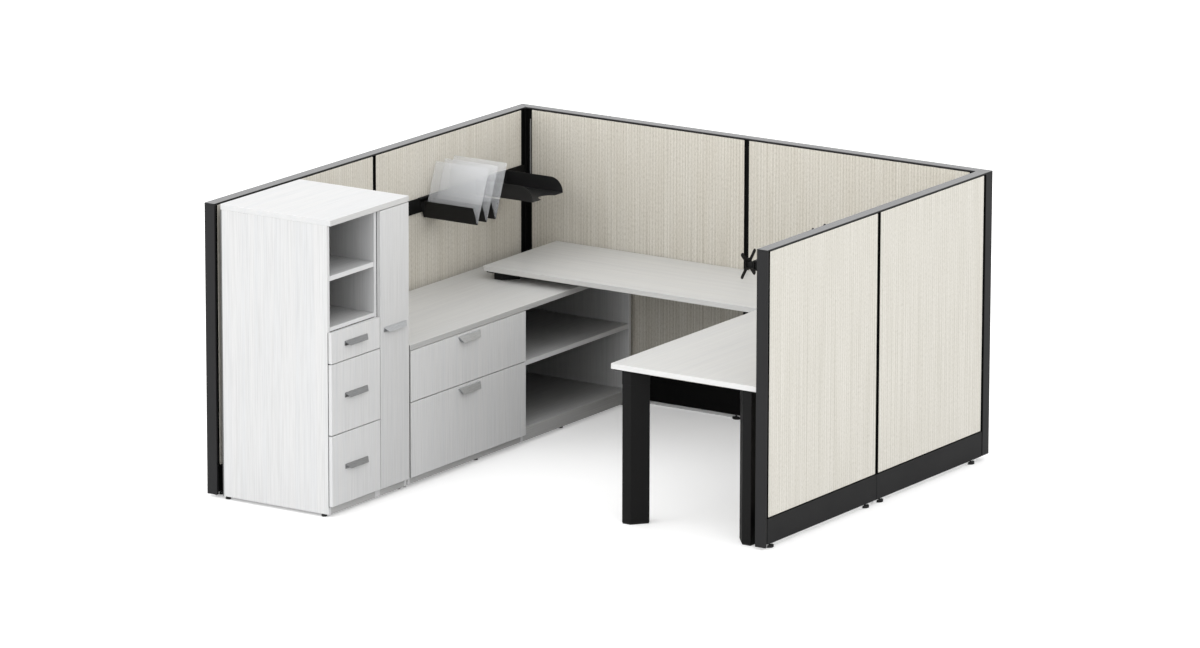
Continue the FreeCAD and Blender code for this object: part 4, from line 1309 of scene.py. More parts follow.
    def _glides(self) -> None:
        """Levelling glides under the walls."""
        places = [wall.flat(a, self.thickness / 2) for wall, span in self.modules()
                  for a in within(span, self.glide_inset)]
        self.fittings.glides("panel_glide_feet", places, self.fittings.panel_glide, "panel_glides")


def looks_inside(face: bmesh.types.BMFace) -> bool:
    """Whether a face of a corner post looks toward the middle of the room."""
    toward_middle = face.normal.x * -face.calc_center_median().x
    return toward_middle > 0.2 or face.normal.y < -0.5


def looks_forward(face: bmesh.types.BMFace) -> bool:
    """Whether a face of a cabinet looks the same way as its drawers."""
    return face.normal.x > 0.8


def is_upright(face: bmesh.types.BMFace) -> bool:
    """Whether a face of a board is one of its edges."""
    return abs(face.normal.z) < 0.5


@dataclass(frozen=True)
class BentPull:
    """A pull of bent plate: a plate on the face and a hood that leans out over the fingers."""

    drop: float
    foot: float
    metal: float = 2.0
    reach: float = 20.0
    half: float = 85.0
    lip: float = 66.0
    shoulder: float = 6.0
    tail: float = 1.6
    sunk: float = 0.4
    root: float = 5.0
    throat: float = 4.0
    throat_fall: float = 1.2
    throat_share: float = 0.35
    crown: float = 1.0
    crown_fall: float = 1.4
    bend: float = 5.0
    bend_turn: float = 38.0
    bend_chords: int = 4
    narrowing: float = 1.5

    def add_to(self, stock: Stock, y: float, top: float) -> None:
        """Add the pull to a mesh.

        Args:
            stock: The mesh that takes it.
            y: The middle of the pull.
            top: Its upper edge.
        """
        half, foot, low = self.half, self.foot, top - self.drop - self.tail
        knee = top - self.shoulder
        outline = [(y - half, top), (y - half, knee), (y - foot, low), (y + foot, low), (y + half, knee),
                   (y + half, top)]
        stock.prism([spot(FACE_FRONT, a, z) for a, z in outline], Vector((self.metal * MM, 0, 0)), Ease(0.6))
        stock.loft(self._folds(y, top), Ease(0.5))

    def _folds(self, y: float, top: float) -> list[list[Vector]]:
        """The hood's section at each fold, from the plate to the lip.

        Args:
            y: The middle of the pull.
            top: Its upper edge.

        Returns:
            The four corners of each fold.
        """
        x = FACE_FRONT + self.metal
        rows = [(x - self.sunk, top - self.root, x - self.sunk, top, self.half)]
        for i in range(self.bend_chords + 1):
            t = i / self.bend_chords
            out = self.bend * math.sin(t * math.radians(self.bend_turn))
            rows.append((x + out * self.throat_share, top - self.throat - t * self.throat_fall,
                         x + self.crown + out, top - t * self.crown_fall, self.half - t * self.narrowing))
        lip_x, lip_z = x + self.reach, top - self.drop
        rows.append((lip_x - self.metal, lip_z, lip_x, lip_z, self.lip))
        return [[spot(x, y + side, z) for x, z, side in ((x0, z0, -half), (x0, z0, half), (x1, z1, half),
                                                         (x1, z1, -half))] for x0, z0, x1, z1, half in rows]


FACE_PULL = BentPull(21.0, 85.0)
EDGE_PULL = BentPull(28.0, 62.0)


@dataclass(frozen=True)
class Drawer:
    """One drawer: its front, its box, its runner members and its pull."""

    name: str
    face_y: Span
    space_y: Span
    z: Span
    lift: float
    share: float
    pull: BentPull
    pull_top: float
    file_bars: bool
    front_trim: float = 0.8
    depth: float = 520.0
    board: float = 12.0
    end_drop: float = 1.5
    groove: float = 3.0
    floor: float = 8.0
    floor_lift: float = 0.6
    runner_gap: float = 12.7
    runner_length: float = 500.0
    runner_rise: float = 52.5
    web_half: float = 17.0
    web_metal: float = 2.0
    lip_offset: float = 13.5
    lip_half: float = 3.5
    lip_reach: float = 5.9
    metal_edge: Ease = Ease(0.5)
    bar_inset: float = 2.0
    bar_half: float = 7.6
    bar_depth: float = 12.0
    bar_proud: float = 1.4
    blade_half: float = 1.2
    blade_height: float = 12.0
    screw_steps: tuple[float, ...] = (60.0, 250.0, 440.0)
    screw_size: float = 0.9

    def build(self, finishes: Finishes, fittings: Fittings) -> None:
        """Make the drawer's pieces.

        Args:
            finishes: The workstation's finishes.
            fittings: The shared fittings.
        """
        front = Stock()
        front.box((FACE_BACK, FACE_FRONT), self.face_y, within(self.z, self.front_trim), Ease(0.8, 3))
        front.place(self.name + "_face", [finishes.upright], self.name, "laminate", self.name + "_front")
        self._box(finishes, fittings)
        pull = Stock()
        self.pull.add_to(pull, sum(self.face_y) / 2, self.pull_top)
        # The credenza's pulls take the paler nickel copy, painted light.
        nickel = finishes.nickel_lit if self.pull is EDGE_PULL else finishes.nickel
        pull.place(self.name + "_bent_pull", [nickel], self.name, "nickel", self.name + "_pull")

    def _box(self, finishes: Finishes, fittings: Fittings) -> None:
        """The box, its moving runner members and its screws.

        Args:
            finishes: The workstation's finishes.
            fittings: The shared fittings.
        """
        y0, y1 = within(self.space_y, self.runner_gap)
        x0, x1 = FACE_BACK - self.depth, FACE_BACK
        z0 = self.z[0] + self.lift
        z1 = z0 + (self.z[1] - self.z[0]) * self.share
        w = self.board
        box = Stock()
        for y in ((y0, y0 + w), (y1 - w, y1)):
            box.box((x0, x1), y, (z0, z1), Ease(1.2))
        for x in ((x0, x0 + w), (x1 - w, x1)):
            box.box(x, within((y0, y1), w - self.groove), (z0, z1 - self.end_drop), Ease(1.0))
        box.box(within((x0, x1), self.groove), within((y0, y1), self.groove),
                (z0 + self.floor_lift, z0 + self.floor), Ease(0.3, 1))
        middle = z0 + self.runner_rise
        folds = ((0.0, self.web_half, self.web_metal), (self.lip_offset, self.lip_half, self.lip_reach),
                 (-self.lip_offset, self.lip_half, self.lip_reach))
        sides = ((y0, -1.0), (y1, 1.0))
        for y, way in sides:
            for rise, half, reach in folds:
                box.box((x0, x0 + self.runner_length), (y, y + way * reach), about(middle + rise, half),
                        self.metal_edge, 1)
        if self.file_bars:
            x = within((x0, x1), self.bar_inset)
            for y in (y0 + w / 2, y1 - w / 2):
                box.box(x, about(y, self.bar_half), (z1 - self.bar_depth, z1 + self.bar_proud),
                        self.metal_edge, 1)
                box.box(x, about(y, self.blade_half), (z1, z1 + self.blade_height), Ease(), 1)
        box.place(self.name + "_tray_box", [finishes.birch, finishes.zinc_x], self.name, "birch",
                  self.name + "_box")
        aims = [(spot(x0 + step, y + way * self.web_metal, middle), Vector((0, way, 0)))
                for step in self.screw_steps for y, way in sides]
        fittings.screws(self.name + "_runner_screws", aims, self.name, "zinc", self.screw_size)


@dataclass
class Cabinet(Assembly):
    """A laminate cabinet along the left wing: its upright boards, its back, its top and its loose shelves."""

    near: float
    line: float
    far: float
    foot: float
    under: float
    top: float
    board: float = 18.0
    back_x: Span = (92.0, 98.0)
    board_edge: Ease = Ease(0.9)
    shelf_set: float = 2.0
    shelf_gap: float = 0.4
    pin_x: Span = (160.0, 600.0)
    pin_drop: float = 3.2
    pin_sides: int = 14
    skin: float = 2.0
    drawers: list[Drawer] = field(default_factory=list)

    @property
    def depth_x(self) -> Span:
        """The boards from the back to their front edges."""
        return self.back_x[1], CARCASS_FRONT

    @property
    def breadth_y(self) -> Span:
        """The cabinet's two outer faces."""
        return self.near, self.far

    def _shade_inside(self, stock: Stock, finish: int, set_back: float = 0.0) -> None:
        """Give the faces inside the cabinet the laminate copy with painted shade.

        Args:
            stock: The boards' mesh.
            finish: The material number of the inner faces.
            set_back: How far the boards' edges stand behind the cabinet's front.
        """
        near, far = (spot(0.0, edge, 0.0).y for edge in within(self.breadth_y, self.skin))
        front = spot(CARCASS_FRONT - set_back - self.skin, 0.0, 0.0).x

        def is_inside(face: bmesh.types.BMFace) -> bool:
            """Whether a face lies between the outer boards and has the first finish."""
            middle = face.calc_center_median()
            return near < middle.y < far and middle.x < front and face.material_index == 0

        stock.mark(finish, is_inside)

    def _uprights(self, name: str, node: str, places: Sequence[float]) -> None:
        """The upright boards, with painted shade on their faces inside the cabinet.

        Args:
            name: The piece's name.
            node: The CAD node that it replaces.
            places: The near face of each board.
        """
        stock = Stock()
        for y in places:
            stock.box(self.depth_x, (y, y + self.board), (self.foot, self.under), self.board_edge)
        self._shade_inside(stock, 1)
        stock.place(name, [self.finishes.upright, self.finishes.upright_painted_shade], STATION, "laminate", node)

    def _back(self, name: str, node: str) -> None:
        """The board behind everything, in the dark grey laminate that paints the shade at the back of the
        bays.

        Args:
            name: The piece's name.
            node: The CAD node that it replaces.
        """
        stock = Stock()
        stock.box(self.back_x, self.breadth_y, (self.foot, self.under), Ease(0.5))
        stock.place(name, [self.finishes.grey], STATION, "laminate", node)

    def _top(self, name: str, node: str, finishes: Sequence[bpy.types.Material], slot: str) -> None:
        """The top board, with painted shade on its front edge.

        Args:
            name: The piece's name.
            node: The CAD node that it replaces.
            finishes: Its own finish and its front edge's.
            slot: The record's material slot.
        """
        stock = Stock()
        stock.box((self.back_x[0], FACE_FRONT), self.breadth_y, (self.under, self.top), Ease(1.6, 3))
        stock.mark(1, looks_forward)
        stock.place(name, finishes, STATION, slot, node)

    def _loose_shelf(self, stock: Stock, column: Span, z: Span) -> None:
        """Add a loose shelf on four pins.

        Args:
            stock: The mesh that takes it.
            column: The inner faces to both sides of it.
            z: Its underside and its top.
        """
        x0, x1 = self.depth_x
        stock.box((x0, x1 - self.shelf_set), within(column, self.shelf_gap), z, Ease(1.4, 3))
        profile = [(5.0, 0.0), (5.0, 1.6), (3.0, 2.2), (3.0, 7.0), (2.4, 8.0)]
        for x in self.pin_x:
            for y, way in zip(column, (1.0, -1.0)):
                place = spot(x, y, z[0] - self.pin_drop)
                stock.turned(place, Vector((0, way, 0)), profile, self.pin_sides, 1)

    def _place_shelves(self, stock: Stock, name: str, node: str) -> None:
        """Paint shade on the shelves' inner faces and place them with their pins.

        Args:
            stock: Their mesh.
            name: The piece's name.
            node: The CAD node that it replaces.
        """
        self._shade_inside(stock, 2, self.shelf_set)
        stock.place(name, [self.finishes.level, self.finishes.zinc_y, self.finishes.level_painted_shade], STATION,
                    "laminate", node)

    def _fill_drawers(self, drawers: Sequence[Drawer]) -> None:
        """Keep the drawers and make their pieces.

        Args:
            drawers: The drawers from the top down.
        """
        self.drawers.extend(drawers)
        for drawer in drawers:
            drawer.build(self.finishes, self.fittings)


@dataclass
class Tower(Cabinet):
    """The storage tower: boards, shelves, coat rod, wardrobe door and three drawers."""

    near: float = -2519.4
    line: float = -2144.4
    far: float = -1917.4
    foot: float = 15.0
    under: float = 1326.0
    top: float = 1352.0
    base_top: float = 48.0
    fixed_shelf: Span = (846.0, 864.0)
    loose_shelf: Span = (1073.0, 1095.0)
    rod_x: float = 381.0
    rod_z: float = 1266.0
    rod_radius: float = 12.5
    rod_gap: float = 0.5
    rod_sides: int = 40
    door_y: Span = (-2141.9, -1920.4)
    door_z: Span = (51.0, 1323.0)
    door_pull_top: float = 789.0
    hinge_inset: float = 110.0
    cup_inset: float = 22.5
    cup_sides: int = 36
    plate_length: float = 58.0
    plate_metal: float = 3.0
    plate_half: float = 20.0
    arm_x: Span = (8.0, 2.0)
    arm_y: Span = (12.0, 2.0)
    arm_half: float = 8.0
    plate_screw_x: float = 24.0
    plate_screw_z: float = 15.0
    plate_screw_size: float = 0.9
    face_gaps: Span = (3.0, 2.5)
    box_lift: float = 22.0
    pull_rise: float = 16.0
    rows: tuple[tuple[str, Span, float, bool], ...] = (
        ("tower_upper_drawer", (702.0, 844.0), 0.67, False),
        ("tower_middle_drawer", (376.5, 699.0), 0.775, True),
        ("tower_lower_drawer", (51.0, 373.5), 0.775, True))

    @property
    def columns(self) -> tuple[Span, Span]:
        """The inner faces of the drawer column and of the wardrobe."""
        b = self.board
        return (self.near + b, self.line - b), (self.line + b, self.far - b)

    def build(self) -> None:
        """Make every piece of the tower."""
        b = self.board
        self._uprights("tower_side_boards", "tower_upright_panels",
                       (self.near, self.line - b, self.line, self.far - b))
        self._back("tower_back_board", "tower_back")
        self._base()
        self._top("tower_top_board", "tower_top", [self.finishes.level, self.finishes.rim], "laminate")
        self._shelves()
        self._rod()
        self._door()
        self._hinges()
        face = (self.near + self.face_gaps[0], self.line - self.face_gaps[1])
        self._fill_drawers([Drawer(name, face, self.columns[0], z, self.box_lift, share, FACE_PULL,
                                   sum(z) / 2 + self.pull_rise, bars) for name, z, share, bars in self.rows])

    def _base(self) -> None:
        """The bottom boards of both columns, with painted shade on their front faces."""
        stock = Stock()
        for y in self.columns:
            stock.box(self.depth_x, y, (self.foot, self.base_top))
        stock.mark(1, looks_forward)
        stock.place("tower_bottom_boards", [self.finishes.level, self.finishes.band], STATION, "laminate",
                    "tower_base")

    def _shelves(self) -> None:
        """The fixed shelf over the drawers and the loose one above it."""
        stock = Stock()
        stock.box(self.depth_x, self.columns[0], self.fixed_shelf, self.board_edge)
        self._loose_shelf(stock, self.columns[0], self.loose_shelf)
        self._place_shelves(stock, "tower_shelf_boards", "tower_shelves")

    def _rod(self) -> None:
        """The coat rod with its end cups."""
        stock = Stock()
        y0, y1 = self.columns[1]
        r = self.rod_radius
        stock.turned(spot(self.rod_x, y0, self.rod_z), Vector((0, 1, 0)),
                     [(r, self.rod_gap), (r, y1 - y0 - self.rod_gap)], self.rod_sides)
        cup = [(20.0, 0.0), (20.0, 2.0), (18.6, 3.4), (15.4, 4.0), (14.6, 9.0), (12.6, 9.6)]
        for y, way in ((y0, 1.0), (y1, -1.0)):
            stock.turned(spot(self.rod_x, y, self.rod_z), Vector((0, way, 0)), cup, self.rod_sides)
        stock.place("tower_hanging_rod", [self.finishes.zinc_y], STATION, "zinc", "tower_coat_rod")

    def _door(self) -> None:
        """The wardrobe door and its pull, in the darker door laminate and the paler nickel: painted shade and
        painted light.
        """
        door = Stock()
        door.box((FACE_BACK, FACE_FRONT), self.door_y, self.door_z, Ease(1.1, 3))
        door.place("wardrobe_door_board", [self.finishes.door], "wardrobe_door", "laminate", "tower_door")
        pull = Stock()
        FACE_PULL.add_to(pull, sum(self.door_y) / 2, self.door_pull_top)
        pull.place("wardrobe_bent_pull", [self.finishes.nickel_lit], "wardrobe_door", "nickel",
                   "tower_door_pull")

    def _hinges(self) -> None:
        """Cup hinges in the door and their arms on the side."""
        cups, arms, screws = Stock(), Stock(), []
        z_low, z_high = within(self.door_z, self.hinge_inset)
        inner = self.far - self.board
        plate = (CARCASS_FRONT - self.plate_length, CARCASS_FRONT)
        arm = (plate[0] + self.arm_x[0], plate[1] - self.arm_x[1])
        cup = [(17.5, -3.0), (19.5, -0.2), (19.5, 0.25), (16.5, 0.3), (15.5, -2.2), (0.8, -2.4)]
        for z in (z_low, (z_low + z_high) / 2, z_high):
            centre = spot(FACE_BACK, self.door_y[1] - self.cup_inset, z)
            cups.turned(centre, Vector((-1, 0, 0)), cup, self.cup_sides)
            arms.box(plate, (inner - self.plate_metal, inner), about(z, self.plate_half))
            arms.box(arm, (inner - self.arm_y[0], inner - self.arm_y[1]), about(z, self.arm_half),
                     Ease(2.0, 3))
            for height in about(z, self.plate_screw_z):
                place = spot(plate[0] + self.plate_screw_x, inner - self.plate_metal, height)
                screws.append((place, Vector((0, -1, 0))))
        cups.place("wardrobe_hinge_cups", [self.finishes.zinc_y], "wardrobe_door", "zinc", "door_hinge_cups")
        arms.place("wardrobe_hinge_arms", [self.finishes.zinc_x], STATION, "zinc", "door_hinge_plates")
        self.fittings.screws("wardrobe_hinge_screws", screws, STATION, "zinc", self.plate_screw_size)


@dataclass
class Credenza(Cabinet):
    """The low cabinet: boards, two file drawers and an open bay with a shelf."""

    near: float = -1909.4
    line: float = -987.4
    far: float = -85.4
    foot: float = 18.0
    under: float = 640.0
    top: float = 665.0
    floor_top: float = 80.0
    kick_set: float = 1.5
    shelf: Span = (371.6, 393.6)
    glide_y: Span = (-1320.0, -624.0)
    face_gap: float = 3.0
    box_lift: float = 36.0
    pull_drop: float = 12.0
    rows: tuple[tuple[str, Span, float], ...] = (
        ("lateral_upper_drawer", (401.5, 638.0), 0.635), ("lateral_lower_drawer", (51.0, 398.5), 0.72))

    def build(self) -> None:
        """Make every piece of the credenza."""
        b = self.board
        self._uprights("credenza_end_boards", "credenza_upright_panels",
                       (self.near, self.line - b, self.far - b))
        self._back("credenza_back_board", "credenza_back")
        self._floors()
        self._top("credenza_top_board", "credenza_top", [self.finishes.top_y, self.finishes.band], "worktop")
        shelf = Stock()
        self._loose_shelf(shelf, (self.line, self.far - b), self.shelf)
        self._place_shelves(shelf, "credenza_shelf_board", "credenza_shelf")
        face = within((self.near, self.line), self.face_gap)
        space = within((self.near, self.line), b)
        self._fill_drawers([Drawer(name, face, space, z, self.box_lift, share, EDGE_PULL,
                                   z[1] - self.pull_drop, True) for name, z, share in self.rows])

    def _floors(self) -> None:
        """The floors of both bays and the kicks under them, with painted shade inside the bays and on their
        front faces.
        """
        stock = Stock()
        b = self.board
        low = self.floor_top - b
        kick = CARCASS_FRONT - self.kick_set
        for y in ((self.near + b, self.line - b), (self.line, self.far - b)):
            stock.box(self.depth_x, y, (low, self.floor_top), self.board_edge)
            stock.box((kick - b, kick), y, (self.foot, low))
        self._shade_inside(stock, 1)
        stock.mark(2, looks_forward)
        stock.place("credenza_floor_boards",
                    [self.finishes.level, self.finishes.level_painted_shade, self.finishes.band], STATION,
                    "laminate", "credenza_base")


@dataclass
class CabinetSteel(Assembly):
    """The runner channels of both cabinets, the black strips that paint shade in the gaps round their fronts,
    and the glides under them.
    """

    tower: Tower
    credenza: Credenza
    channel_rise: float = 30.0
    channel_height: float = 45.0
    channel_metal: float = 1.6
    channel_reach: float = 5.9
    channel_lip: float = 4.0
    # The rails, strips and filler below are painted shade: black pieces put where the gaps between the fronts
    # look dark.
    gap_shade_rail_x: Span = (656.0, 669.8)
    gap_shade_rail_gap: float = 0.3
    gap_shade_rail_half: float = 12.0
    gap_shade_x: Span = (670.05, 670.65)
    gap_shade_half: float = 2.4
    gap_shade_bar_half: float = 4.0
    gap_shade_bar_end: float = 2.0
    gap_shade_drop: float = 2.0
    gap_shade_sill: float = 5.0
    gap_shade_edge: Ease = Ease(0.1, 1)
    gap_shade_filler_x: Span = (655.0, 684.0)
    gap_shade_filler_gap: float = 0.4
    gap_shade_filler_foot: float = 52.0
    gap_shade_filler_drop: float = 1.5
    glide_x: Span = (106.0, 632.0)
    glide_inset: float = 17.0
    first_glide_inset: float = 21.0

    def build(self) -> None:
        """Make the runner channels, the black gap strips and the glides."""
        self._runners()
        self._gap_shade_strips()
        t, c, inset = self.tower, self.credenza, self.glide_inset
        rows = (t.near + self.first_glide_inset, t.far - inset, c.near + inset, *c.glide_y, c.far - inset)
        self.fittings.glides("cabinet_glide_feet", [(x, y) for x in self.glide_x for y in rows],
                             self.fittings.cabinet_glide, "cabinet_glides")

    def _frame(self, stock: Stock, y: Span, z: Span) -> None:
        """Black strips that paint shade behind both sides and the sill of a front.

        Args:
            stock: The mesh that takes them.
            y: The front's two ends.
            z: The strips' foot and head.
        """
        for edge in y:
            stock.box(self.gap_shade_x, about(edge, self.gap_shade_half), z, self.gap_shade_edge)
        sill = (y[0] - self.gap_shade_half, y[1] + self.gap_shade_half)
        stock.box(self.gap_shade_x, sill, (z[0], z[0] + self.gap_shade_sill), self.gap_shade_edge)

    def _gap_shade_strips(self) -> None:
        """Black rails and strips behind the gaps round the drawers and the door, and a black filler between
        the tower and the credenza: painted shade where the gaps look into shadow.
        """
        stock = Stock()
        for cabinet in (self.tower, self.credenza):
            drawers = sorted(cabinet.drawers, key=lambda drawer: drawer.z[0])
            face = drawers[0].face_y
            bar = (face[0] - self.gap_shade_half, face[1] + self.gap_shade_bar_end)
            for lower, upper in zip(drawers, drawers[1:]):
                z = (lower.z[1] + upper.z[0]) / 2
                stock.box(self.gap_shade_rail_x, within(lower.space_y, self.gap_shade_rail_gap), about(z, self.gap_shade_rail_half))
                stock.box(self.gap_shade_x, bar, about(z, self.gap_shade_bar_half), self.gap_shade_edge)
            self._frame(stock, face, (drawers[0].z[0] - self.gap_shade_drop, drawers[-1].z[1]))
        stock.box(self.gap_shade_filler_x, within((self.tower.far, self.credenza.near), self.gap_shade_filler_gap),
                  (self.gap_shade_filler_foot, self.credenza.top - self.gap_shade_filler_drop))
        low, high = self.tower.door_z
        self._frame(stock, self.tower.door_y, (low - self.gap_shade_drop, high))
        stock.place("front_rails_and_seals", [self.finishes.shadow], STATION, "black_plastic")

    def _runners(self) -> None:
        """The cabinet channels: a web with two folded lips each."""
        stock = Stock()
        for drawer in self.tower.drawers + self.credenza.drawers:
            x0 = FACE_BACK - drawer.depth
            x = (x0, x0 + drawer.runner_length)
            low = drawer.z[0] + drawer.lift + self.channel_rise
            high = low + self.channel_height
            for y, way in zip(drawer.space_y, (1.0, -1.0)):
                stock.box(x, (y, y + way * self.channel_metal), (low, high), Ease(0.5))
                for z in (low, high - self.channel_lip):
                    stock.box(x, (y, y + way * self.channel_reach), (z, z + self.channel_lip),
                              Ease(0.7))
        stock.place("runner_channels", [self.finishes.zinc_x], STATION, "zinc", "drawer_runners")


@dataclass
class Worksurfaces(Assembly):
    """The bridge and the return, their legs and the steel under them."""

    walls: PanelWalls
    tower: Tower
    credenza: Credenza
    under: float = 701.0
    top: float = 726.0
    back_y: float = -58.0
    bridge_x: Span = (232.4, 1744.4)
    bridge_front: float = -667.6
    return_x: Span = (1744.4, 2506.4)
    return_front: float = -1886.8
    board_edge: Ease = Ease(1.8, 3)
    corner: float = 4.0
    corner_chords: int = 4
    flat: float = 45.0
    reach: Span = (56.0, 68.0)
    side_inset: float = 45.0
    floor_leg_inset: float = 18.0
    floor_leg_shift: float = 5.0
    short_leg_inset: float = 33.0
    near_leg_inset: float = 15.0
    near_leg_shift: float = 6.0
    pad: float = 7.0
    pad_shrink: float = 1.5
    shaft_foot: float = 6.0
    shaft_lap: float = 4.0
    shaft_edge: Ease = Ease(1.4, 3)
    sleeve: float = 62.0
    sleeve_grow: float = 1.2
    plate: float = 5.0
    plate_margin: float = 34.0
    plate_lap: float = 12.0
    plate_screw_inset: float = 14.0
    metal: float = 3.0
    steel_edge: Ease = Ease(0.9)
    angle_half: float = 30.0
    angle_drop: float = 58.0
    angle_reach: float = 96.0
    angle_inset: float = 240.0
    angle_screws: Span = (26.0, 76.0)
    angle_screw_drop: float = 40.0
    tie_half: float = 100.0
    tie_width: float = 80.0
    tie_inset: float = 90.0
    tie_screws: tuple[float, ...] = (-80.0, -30.0, 30.0, 80.0)
    tie_screw_inset: float = 16.0
    spacer_x: Span = (162.0, 600.0)
    spacer_z: Span = (91.0, 570.0)
    spacer_radius: float = 12.0
    spacer_sides: int = 24

    def build(self) -> None:
        """Make every piece of the worksurfaces."""
        bridge = Stock()
        bridge.box(self.bridge_x, (self.bridge_front, self.back_y), (self.under, self.top), self.board_edge)
        bridge.place("bridge_board", [self.finishes.top_x], STATION, "worktop", "bridge_worksurface")
        self._return()
        self._legs()
        self._steel()

    def _return(self) -> None:
        """The return board with softly rounded corners, its upright edges in the paler edge laminate as
        painted light.
        """
        r = self.corner
        (x0, x1), (y0, y1) = within(self.return_x, r), within((self.return_front, self.back_y), r)
        outline = []
        for turn, (x, y) in enumerate(((x1, y1), (x0, y1), (x0, y0), (x1, y0))):
            for i in range(self.corner_chords + 1):
                a = math.radians(90 * (turn + i / self.corner_chords))
                outline.append(spot(x + r * math.cos(a), y + r * math.sin(a), self.under))
        board = Stock()
        board.prism(outline, UP * ((self.top - self.under) * MM), self.board_edge)
        board.mark(1, is_upright)
        board.place("return_board", [self.finishes.top_y, self.finishes.edge], STATION, "worktop",
                    "return_worksurface")

    def _length(self, stock: Stock, leg: tuple[Span, Span], grow: float, z: Span, ease: Ease,
                finish: int = 0) -> None:
        """Add a length of a five-sided leg.

        Args:
            stock: The mesh that takes it.
            leg: Its outer corner and the direction of its flats along X and Y.
            grow: How far its section is grown outwards.
            z: Its foot and its head.
            ease: How its edges are rounded.
            finish: The material number.
        """
        (x, y), (way_x, way_y) = leg
        f, g, (rx, ry) = self.flat, grow, self.reach
        k, out = g * (math.sqrt(2) - 1), g * math.sqrt(2)
        section = [(-g, -g), (f + k, -g), (f + rx + out, ry), (rx, f + ry + out), (-g, f + k)]
        outline = [spot(x + way_x * a, y + way_y * b, z[0]) for a, b in section]
        stock.prism(outline, UP * ((z[1] - z[0]) * MM), ease, finish)

    def _legs(self) -> None:
        """Two floor legs and two short legs with their sleeves, feet and top plates."""
        stock, screws = Stock(), []
        under = self.under - self.plate
        y = self.return_front + self.floor_leg_inset
        sides = zip(within(self.return_x, self.side_inset), (1.0, -1.0))
        floor_legs = [((x, y), (way, 1.0)) for x, way in sides]
        x, near_y = self.bridge_x[0] + self.side_inset, self.bridge_front + self.near_leg_inset
        short_legs = [((x + self.near_leg_shift, near_y), (1.0, 1.0)),
                      ((x, self.back_y - self.short_leg_inset), (1.0, -1.0))]
        shaft_top = under - self.sleeve
        for (x, y), way in floor_legs:
            leg = ((x + self.floor_leg_shift, y), way)
            self._length(stock, leg, -self.pad_shrink, (0.0, self.pad), Ease(1.0), 1)
            self._length(stock, leg, 0.0, (self.shaft_foot, shaft_top + self.shaft_lap), self.shaft_edge)
            self._length(stock, leg, self.sleeve_grow, (shaft_top, under), Ease(1.2, 3))
        for leg in short_legs:
            self._length(stock, leg, 0.0, (self.credenza.top, under), self.shaft_edge)
        wide, deep = (self.flat + reach + self.plate_margin for reach in self.reach)
        inset = self.plate_screw_inset
        for (cx, cy), (way_x, way_y) in floor_legs + short_legs:
            x = (cx - way_x * self.plate_margin, cx + way_x * wide)
            y = (cy - way_y * self.plate_lap, cy + way_y * deep)
            stock.box(x, y, (under, self.under), Ease(1.2))
            (x0, x1), (y0, y1) = within(x, way_x * inset), within(y, way_y * inset)
            screws += [(spot(a, b, under), -UP) for a, b in ((x0, y1), (x1, y1), (x1, y0))]
        stock.place("leg_tubes", [self.finishes.black, self.finishes.plastic], STATION, "black_metal",
                    "worksurface_legs")
        self.fittings.screws("leg_screws", screws, STATION, "black_metal")

    def _steel(self) -> None:
        """Wall angles, tie plates and the spacers between the cabinets."""
        stock, screws = Stock(), []
        sheet = (self.under - self.metal, self.under)
        back, right = self.walls.walls[0], self.walls.walls[2]
        start, inset = self.walls.start, self.angle_inset
        places = [(back, self.bridge_x[0] + inset), (back, start + back.module), (back, ROOM_WIDTH - inset)]
        places += [(right, a) for a in within((start, right.end(start)), inset)]
        face = self.walls.thickness
        for wall, a in places:
            span = about(a, self.angle_half)
            wall.box(stock, span, (face, face + self.angle_reach), sheet, self.steel_edge)
            wall.box(stock, span, (face, face + self.metal), (self.under - self.angle_drop, self.under),
                     self.steel_edge)
            screws += [(spot(*wall.flat(a, face + d), sheet[0]), -UP) for d in self.angle_screws]
            place = spot(*wall.flat(a, face + self.metal), self.under - self.angle_screw_drop)
            screws.append((place, Vector((*wall.inward, 0))))
        joint = self.return_x[0]
        first, last = within((self.bridge_front, self.back_y), self.tie_inset)
        for y in (first, last - self.tie_width - self.tie_inset):
            span = (y, y + self.tie_width)
            stock.box(about(joint, self.tie_half), span, sheet, self.steel_edge)
            screws += [(spot(joint + x, screw_y, sheet[0]), -UP)
                       for x in self.tie_screws for screw_y in within(span, self.tie_screw_inset)]
        gap = self.credenza.near - self.tower.far
        profile = [(self.spacer_radius, 0.0), (self.spacer_radius, gap)]
        for x in self.spacer_x:
            for z in self.spacer_z:
                stock.turned(spot(x, self.tower.far, z), Vector((0, 1, 0)), profile, self.spacer_sides)
        stock.place("fixing_steel", [self.finishes.black], STATION, "black_metal", "fixing_brackets")
        self.fittings.screws("fixing_screws", screws, STATION, "black_metal")


